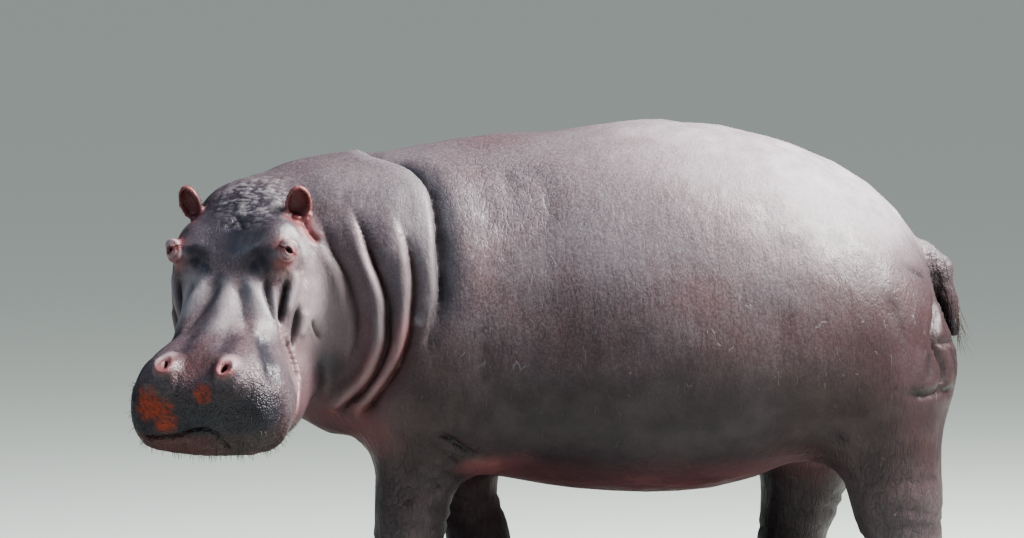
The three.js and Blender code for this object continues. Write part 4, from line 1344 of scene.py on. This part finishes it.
def make_eyeball(name, side):
    """A ball with a raised clear front, looking out through the lids."""
    bpy.ops.object.select_all(action="DESELECT")
    bpy.ops.mesh.primitive_uv_sphere_add(segments=48, ring_count=32, radius=EYE_RADIUS)
    ball = bpy.context.object
    ball.name = name
    co = coordinates(ball)
    front = co[:, 2] / EYE_RADIUS
    set_coordinates(ball, co * (1 + 0.05 * smooth_step(front, 0.80, 0.94)[:, None]))
    out, along, up = eye_axes(side)
    turn = Matrix((along * side, up, out)).transposed().to_4x4()
    turn.translation = eye_middle(side)
    ball.data.transform(turn)
    shades = ball.data.attributes.new("iris", "FLOAT", "POINT")
    shades.data.foreach_set("value", front.astype(np.float32))
    finished(ball, "eye", name.replace("eyeball", "eye"))
    return ball


def make_eye_finish():
    made, tree, shader, place = new_material("eye", Roughness=0.06, Specular_IOR_Level=0.6)
    front = add(tree, "ShaderNodeAttribute", attribute_name="iris").outputs["Fac"]
    spots = use_group(tree, MOTTLE, Vector=place, Size=0.006)
    brown = blend_colours(tree, spots["Blotch"], (0.045, 0.020, 0.010), (0.018, 0.008, 0.005))
    colour = blend_colours(tree, ranged(tree, front, 0.76, 0.82), (0.10, 0.045, 0.035), brown)
    colour = blend_colours(tree, ranged(tree, front, 0.92, 0.945), colour, (0.002, 0.002, 0.002))
    tree.links.new(colour, shader.inputs["Base Color"])
    return made


# ---- Nails ------------------------------------------------------------------------

NAIL_SIZE = (0.030, 0.050, 0.046)  # deep, wide, tall


def make_nail():
    """A rounded hoof-like nail facing -X: narrow at the top, its lower edge forward and squared off."""
    bpy.ops.object.select_all(action="DESELECT")
    bpy.ops.mesh.primitive_cube_add(size=1)
    nail = bpy.context.object
    bpy.ops.object.mode_set(mode="EDIT")
    bpy.ops.mesh.select_all(action="SELECT")
    bpy.ops.mesh.subdivide(number_cuts=3)
    bpy.ops.transform.tosphere(value=0.62)
    bpy.ops.transform.resize(value=NAIL_SIZE)
    bpy.ops.object.mode_set(mode="OBJECT")
    co = coordinates(nail)
    tall = co[:, 2] / NAIL_SIZE[2]
    co[:, 1] *= 1 - 0.34 * (tall + 0.5)
    co[:, 0] -= 0.010 * np.maximum(0.5 - tall, 0) ** 1.5
    co[:, 0] += 0.012 * np.abs(co[:, 1] / NAIL_SIZE[1] * 2) ** 2
    set_coordinates(nail, co)
    apply_modifier(nail, "SUBSURF", levels=2, render_levels=2)
    return nail


def make_nails():
    """One nail modelled, and a copy of it turned to face out of each toe."""
    pattern = make_nail()
    for name in NODES:
        if "nail" not in name:
            continue
        foot = name.rsplit("_", 1)[0].replace("nail", "foot")
        low, high = box_of(name)
        place = (low + high) / 2
        out = unit((place - middle_of(foot)) * (1, 1, 0))
        piece = pattern.copy()
        piece.data = pattern.data.copy()
        bpy.context.scene.collection.objects.link(piece)
        piece.name = f"{name}_horn"
        angle = math.atan2(-out[1], -out[0])
        inset = Vector(place - out * 4 * MM)
        inset.z = max(inset.z, NAIL_SIZE[2] / 2 + 1 * MM)
        piece.data.transform(Matrix.Translation(inset) @ Matrix.Rotation(angle, 4, "Z"))
        co = coordinates(piece)
        co[:, 2] = np.maximum(co[:, 2], 1 * MM)
        set_coordinates(piece, co)
        piece.data.materials.append(HORN)
        finished(piece, "nail", name)
    bpy.data.objects.remove(pattern)


def make_horn_finish():
    made, tree, shader, place = new_material("nail_horn", Roughness=0.5, Specular_IOR_Level=0.4)
    grain = noise(tree, stretched(tree, place, (1, 1, 0.12)), 0.004, 3.0)
    spots = use_group(tree, MOTTLE, Vector=place, Size=0.02)
    streaks = ranged(tree, grain, 0.35, 0.65)
    colour = blend_colours(tree, streaks, (0.055, 0.042, 0.036), (0.115, 0.092, 0.076))
    colour = blend_colours(tree, maths(tree, "MULTIPLY", spots["Blotch"], 0.5), colour, (0.035, 0.026, 0.022))
    tree.links.new(colour, shader.inputs["Base Color"])
    rough = maths(tree, "MULTIPLY_ADD", spots["Speck"], 0.25, 0.38)
    tree.links.new(rough, shader.inputs["Roughness"])
    bump = add(tree, "ShaderNodeBump", {"Height": grain, "Strength": 0.7, "Distance": 1.2 * MM})
    tree.links.new(bump.outputs[0], shader.inputs["Normal"])
    return made


# ---- Bristles -----------------------------------------------------------------------

BAKE_PATCH = 0.003  # the side of each bristle's own square on the map
WHISKERS, EAR_HAIRS, TAIL_BRISTLES = 460, 150, 150


def skin_chart():
    """A light copy of the skin, unwrapped, that gives each bristle its place on the map."""
    chart = skin.copy()
    chart.data = skin.data.copy()
    bpy.context.scene.collection.objects.link(chart)
    apply_modifier(chart, "DECIMATE", ratio=0.05)
    bpy.ops.object.mode_set(mode="EDIT")
    bpy.ops.mesh.select_all(action="SELECT")
    bpy.ops.uv.smart_project(angle_limit=math.radians(66), island_margin=0.004)
    bpy.ops.object.mode_set(mode="OBJECT")
    return chart


def chart_places(chart, roots):
    tree = BVHTree.FromObject(chart, bpy.context.evaluated_depsgraph_get())
    uv = chart.data.uv_layers.active.data
    places = []
    for root in roots:
        face = chart.data.polygons[tree.find_nearest(Vector(root))[2]]
        corners = [chart.data.vertices[v].co for v in face.vertices]
        share = np.array([1 / ((c - Vector(root)).length + 1e-4) for c in corners])
        flat = np.array([uv[i].uv[:] for i in face.loop_indices])
        places.append((share / share.sum()) @ flat)
    return np.array(places)


def make_bristles(name, roots, ways, lengths, thick, droop, chart, seed):
    """Thin tapering hairs, each a bent three-sided spike that starts inside the skin."""
    rng = np.random.default_rng(seed)
    count, rings, sides = len(roots), 4, 3
    t = np.linspace(0, 1, rings + 1)
    spread = unit(ways + rng.normal(0, 0.16, (count, 3)))
    across = unit(np.cross(spread, rng.normal(0, 1, (count, 3))))
    other = np.cross(spread, across)
    bend = (across * rng.normal(0, 0.10, (count, 1)) + np.array((0, 0, -droop))) * lengths[:, None]
    points = np.zeros((count, rings * sides + 1, 3))
    for r in range(rings):
        middle = roots + spread * (lengths * t[r] - 2 * MM)[:, None] + bend * t[r] ** 2
        width = thick * (1 - 0.75 * t[r])
        for k in range(sides):
            a = math.tau * k / sides
            points[:, r * sides + k] = middle + width * (math.cos(a) * across + math.sin(a) * other)
    points[:, -1] = roots + spread * (lengths - 2 * MM)[:, None] + bend
    one, one_uv = [], []
    for r in range(rings - 1):
        for k in range(sides):
            a, b = r * sides + k, r * sides + (k + 1) % sides
            one.append((a, b, b + sides, a + sides))
            one_uv.append(((k, r), (k + 1, r), (k + 1, r + 1), (k, r + 1)))
    tip = rings * sides
    for k in range(sides):
        a, b = (rings - 1) * sides + k, (rings - 1) * sides + (k + 1) % sides
        one.append((a, b, tip))
        one_uv.append(((k, rings - 1), (k + 1, rings - 1), (k + 0.5, rings)))
    one.append(tuple(range(sides))[::-1])
    one_uv.append(((0, 0), (1, 0), (2, 0)))
    per = rings * sides + 1
    faces = [tuple(v + i * per for v in face) for i in range(count) for face in one]
    mesh = bpy.data.meshes.new(name)
    mesh.from_pydata(points.reshape(-1, 3).tolist(), [], faces)
    mesh.update()
    piece = bpy.data.objects.new(name, mesh)
    bpy.context.scene.collection.objects.link(piece)
    patch = np.array([c for face in one_uv for c in face], float) / (sides, rings) * BAKE_PATCH
    uv = (chart_places(chart, roots)[:, None, :] + patch[None] - BAKE_PATCH / 2).clip(0.0005, 0.9995)
    mesh.uv_layers.new(name="OFBake").data.foreach_set("uv", uv.ravel())
    shade = np.tile(np.append(np.repeat(t[:rings], sides), 1), count)
    mesh.attributes.new("along", "FLOAT", "POINT").data.foreach_set("value", shade.astype(np.float32))
    piece.data.materials.append(BRISTLE)
    finished(piece, "hide")
    return piece


def chosen(share, count, seed):
    """Vertices of the skin picked at random, more where share is higher."""
    rng = np.random.default_rng(seed)
    return rng.choice(len(share), size=count, replace=False, p=share / share.sum())


def add_bristles():
    chart = skin_chart()
    co, out = coordinates(skin), unit(normals(skin))
    h = to_head(co)
    rng = np.random.default_rng(91)
    # whiskers: thick on the lips and chin, sparse over the muzzle
    lips = smooth_step(h[:, 0], 0.34, 0.46) * smooth_step(-h[:, 2], 0.02, 0.16)
    lips += 1.2 * smooth_step(h[:, 0], 0.30, 0.42) * smooth_step(-h[:, 2], 0.20, 0.27)
    lips *= inside_share(co, *box_of("head", "lower_jaw"), 10 * MM)
    pick = chosen(lips, WHISKERS, 92)
    ways = unit(out[pick] + 0.35 * head_direction((0, 0, -1)))
    lengths = rng.uniform(0.010, 0.027, WHISKERS)
    make_bristles("whiskers", co[pick], ways, lengths, 0.75 * MM, 0.25, chart, 93)
    # fringes inside the edges of the ears
    ears = np.zeros(len(co))
    for side in (LEFT, RIGHT):
        place = np.array(ear_matrix(side).inverted())
        e = co @ place[:3, :3].T + place[:3, 3]
        r = np.hypot(e[:, 0] / EAR_SIZE[0], e[:, 2] / EAR_SIZE[2])
        cup = (np.abs(e / (EAR_SIZE + 8 * MM)) < 1).all(axis=1)
        ears += cup * smooth_step(r, 0.75, 0.95) * (e[:, 2] > -0.03)
    pick = chosen(ears, EAR_HAIRS, 94)
    lengths = rng.uniform(0.006, 0.014, EAR_HAIRS)
    make_bristles("ear_hairs", co[pick], out[pick], lengths, 0.45 * MM, 0.1, chart, 95)
    # the tail's two edges, thick towards its tip
    low, high = box_of("tail")
    tail = inside_share(co, low + (0.075, 0, 0), high, 4 * MM)
    tail *= 1 - smooth_step(co[:, 2], low[2] + 0.04, low[2] + 0.17)
    tail *= np.abs(out[:, 0]) ** 2 + 0.08
    pick = chosen(tail, TAIL_BRISTLES, 96)
    ways = unit(out[pick] * (0.35, 0.15, 0.2) + (0, 0, -1))
    lengths = rng.uniform(0.030, 0.105, TAIL_BRISTLES)
    make_bristles("tail_bristles", co[pick], ways, lengths, 0.9 * MM, 0.12, chart, 97)
    bpy.data.objects.remove(chart)


def make_bristle_finish():
    made, tree, shader, place = new_material("bristle", Roughness=0.45, Specular_IOR_Level=0.4)
    along = add(tree, "ShaderNodeAttribute", attribute_name="along").outputs["Fac"]
    spots = use_group(tree, MOTTLE, Vector=place, Size=0.03)
    colour = blend_colours(tree, along, (0.030, 0.020, 0.016), (0.10, 0.075, 0.055))
    colour = blend_colours(tree, maths(tree, "MULTIPLY", spots["Blotch"], 0.6), colour, (0.018, 0.013, 0.012))
    tree.links.new(colour, shader.inputs["Base Color"])
    return made


# ---- The skin made light enough to keep ----------------------------------------------

SKIN_TRIANGLES = 188_000


def thin_skin():
    """Fewer faces where the skin is smooth; the face, the ears and the tail keep theirs."""
    co = coordinates(skin)
    free = np.full(len(co), 1.0)
    head = inside_share(co, *box_of("head", "lower_jaw", "ear_left", "ear_right"), 50 * MM)
    free = np.minimum(free, 1 - 0.88 * head)
    free = np.minimum(free, 1 - 0.8 * inside_share(co, *box_of("tail"), 10 * MM))
    for side in (LEFT, RIGHT):
        for centre, reach in ((eye_middle(side), 50 * MM), (from_head(NOSTRIL_AT[side], side), 45 * MM)):
            free[np.linalg.norm(co - centre, axis=1) < reach] = 0.02
    free = np.minimum(free, 1 - 0.5 * np.clip(clay.marks["crease"] * 2, 0, 1))
    free = np.minimum(free, 1 - 0.35 * inside_share(co, (1.0, -9, 0.6), (2, 9, 1.1), 50 * MM))
    group = skin.vertex_groups.new(name="free")
    steps = np.round(free * 20) / 20
    for value in np.unique(steps):
        group.add(np.nonzero(steps == value)[0].tolist(), float(value), "REPLACE")
    now = sum(len(p.vertices) - 2 for p in skin.data.polygons)
    apply_modifier(skin, "DECIMATE", ratio=SKIN_TRIANGLES / now, vertex_group="free",
                   vertex_group_factor=0.35, use_collapse_triangulate=True)
    skin.vertex_groups.clear()
    mend_turned_faces()


def mend_turned_faces():
    """Thinning can turn a sliver over: the corners of any face against its neighbours are evened out."""
    smoother = Smoother(skin)
    for _ in range(4):
        mesh = skin.data
        mesh.update()
        count = len(mesh.polygons)
        face_out = np.empty(count * 3)
        mesh.polygons.foreach_get("normal", face_out)
        corners = np.empty(count * 3, np.int64)
        mesh.polygons.foreach_get("vertices", corners)
        face_out, corners = face_out.reshape(-1, 3), corners.reshape(-1, 3)
        around = unit(smoother.mean(normals(skin)))[corners].mean(axis=1)
        turned = (face_out * around).sum(axis=1) < 0.25
        weight = np.zeros(len(mesh.vertices))
        weight[corners[turned].ravel()] = 0.9
        set_coordinates(skin, smoother.run(coordinates(skin), weight, 3))


thin_skin()
finished(skin, "hide", *FLESH)
HORN = make_horn_finish()
BRISTLE = make_bristle_finish()
eye_finish = make_eye_finish()
for name, side in SIDES:
    make_eyeball(f"eyeball_{name}", side).data.materials.append(eye_finish)
make_nails()
add_bristles()


# ---- Floor, light and camera ------------------------------------------------

def material(name, colour, roughness):
    made = bpy.data.materials.new(name)
    made.use_nodes = True
    shader = made.node_tree.nodes["Principled BSDF"]
    shader.inputs["Base Color"].default_value = (*colour, 1)
    shader.inputs["Roughness"].default_value = roughness
    return made


FLOOR_SIDE = 900
bpy.ops.mesh.primitive_plane_add(size=FLOOR_SIDE, location=(0, 0, 0))
floor = bpy.context.object
floor.name = "floor"
floor.data.materials.append(material("pale_floor", (0.37, 0.41, 0.385), 0.9))

world = bpy.data.worlds.new("studio")
bpy.context.scene.world = world
world.use_nodes = True
world.node_tree.nodes["Background"].inputs["Color"].default_value = (0.62, 0.76, 0.95, 1)
world.node_tree.nodes["Background"].inputs["Strength"].default_value = 0.13


def add_light(name, kind, place, aim, power, colour, **settings):
    data = bpy.data.lights.new(name, kind)
    data.energy = power
    data.color = colour
    for key, value in settings.items():
        setattr(data, key, value)
    lamp = bpy.data.objects.new(name, data)
    bpy.context.scene.collection.objects.link(lamp)
    lamp.location = place
    lamp.rotation_euler = (Vector(aim) - Vector(place)).to_track_quat("-Z", "Y").to_euler()


add_light("key", "AREA", (3.8, -1.3, 5.6), (0.1, -0.1, 0.9), 2100, (1, 0.97, 0.94), shape="DISK", size=2.4)
add_light("left_fill", "AREA", (-5.4, -2.4, 4.4), (-0.6, -0.2, 0.9), 150, (0.70, 0.83, 1), shape="DISK",
          size=3.0)
add_light("overhead", "SUN", (0.45, -0.15, 1.0), (0, 0, 0), 2.2, (1, 0.98, 0.95), angle=math.radians(30))

VIEW_ELEVATION = math.radians(3)
VIEW_DISTANCE = 24.0
WIDTH_SEEN = 1024 * 3 * MM  # at the animal
sole = next(m for m in frame["record"]["mounts"] if m["name"] == "sole_forefoot_left")
AIM = Vector(sole["pos_m"]) + Vector((0.322, 0.265, 1.011))  # the middle of the view
camera_data = bpy.data.cameras.new("camera")
camera_data.sensor_width = 36
camera_data.lens = 36 * VIEW_DISTANCE / WIDTH_SEEN
camera_data.clip_end = 2000
camera = bpy.data.objects.new("camera", camera_data)
bpy.context.scene.collection.objects.link(camera)
back = Vector((0, -math.cos(VIEW_ELEVATION), math.sin(VIEW_ELEVATION)))
camera.location = AIM + back * VIEW_DISTANCE
camera.rotation_euler = (-back).to_track_quat("-Z", "Y").to_euler()
bpy.context.scene.camera = camera
bpy.context.scene.view_settings.look = "AgX - Medium High Contrast"
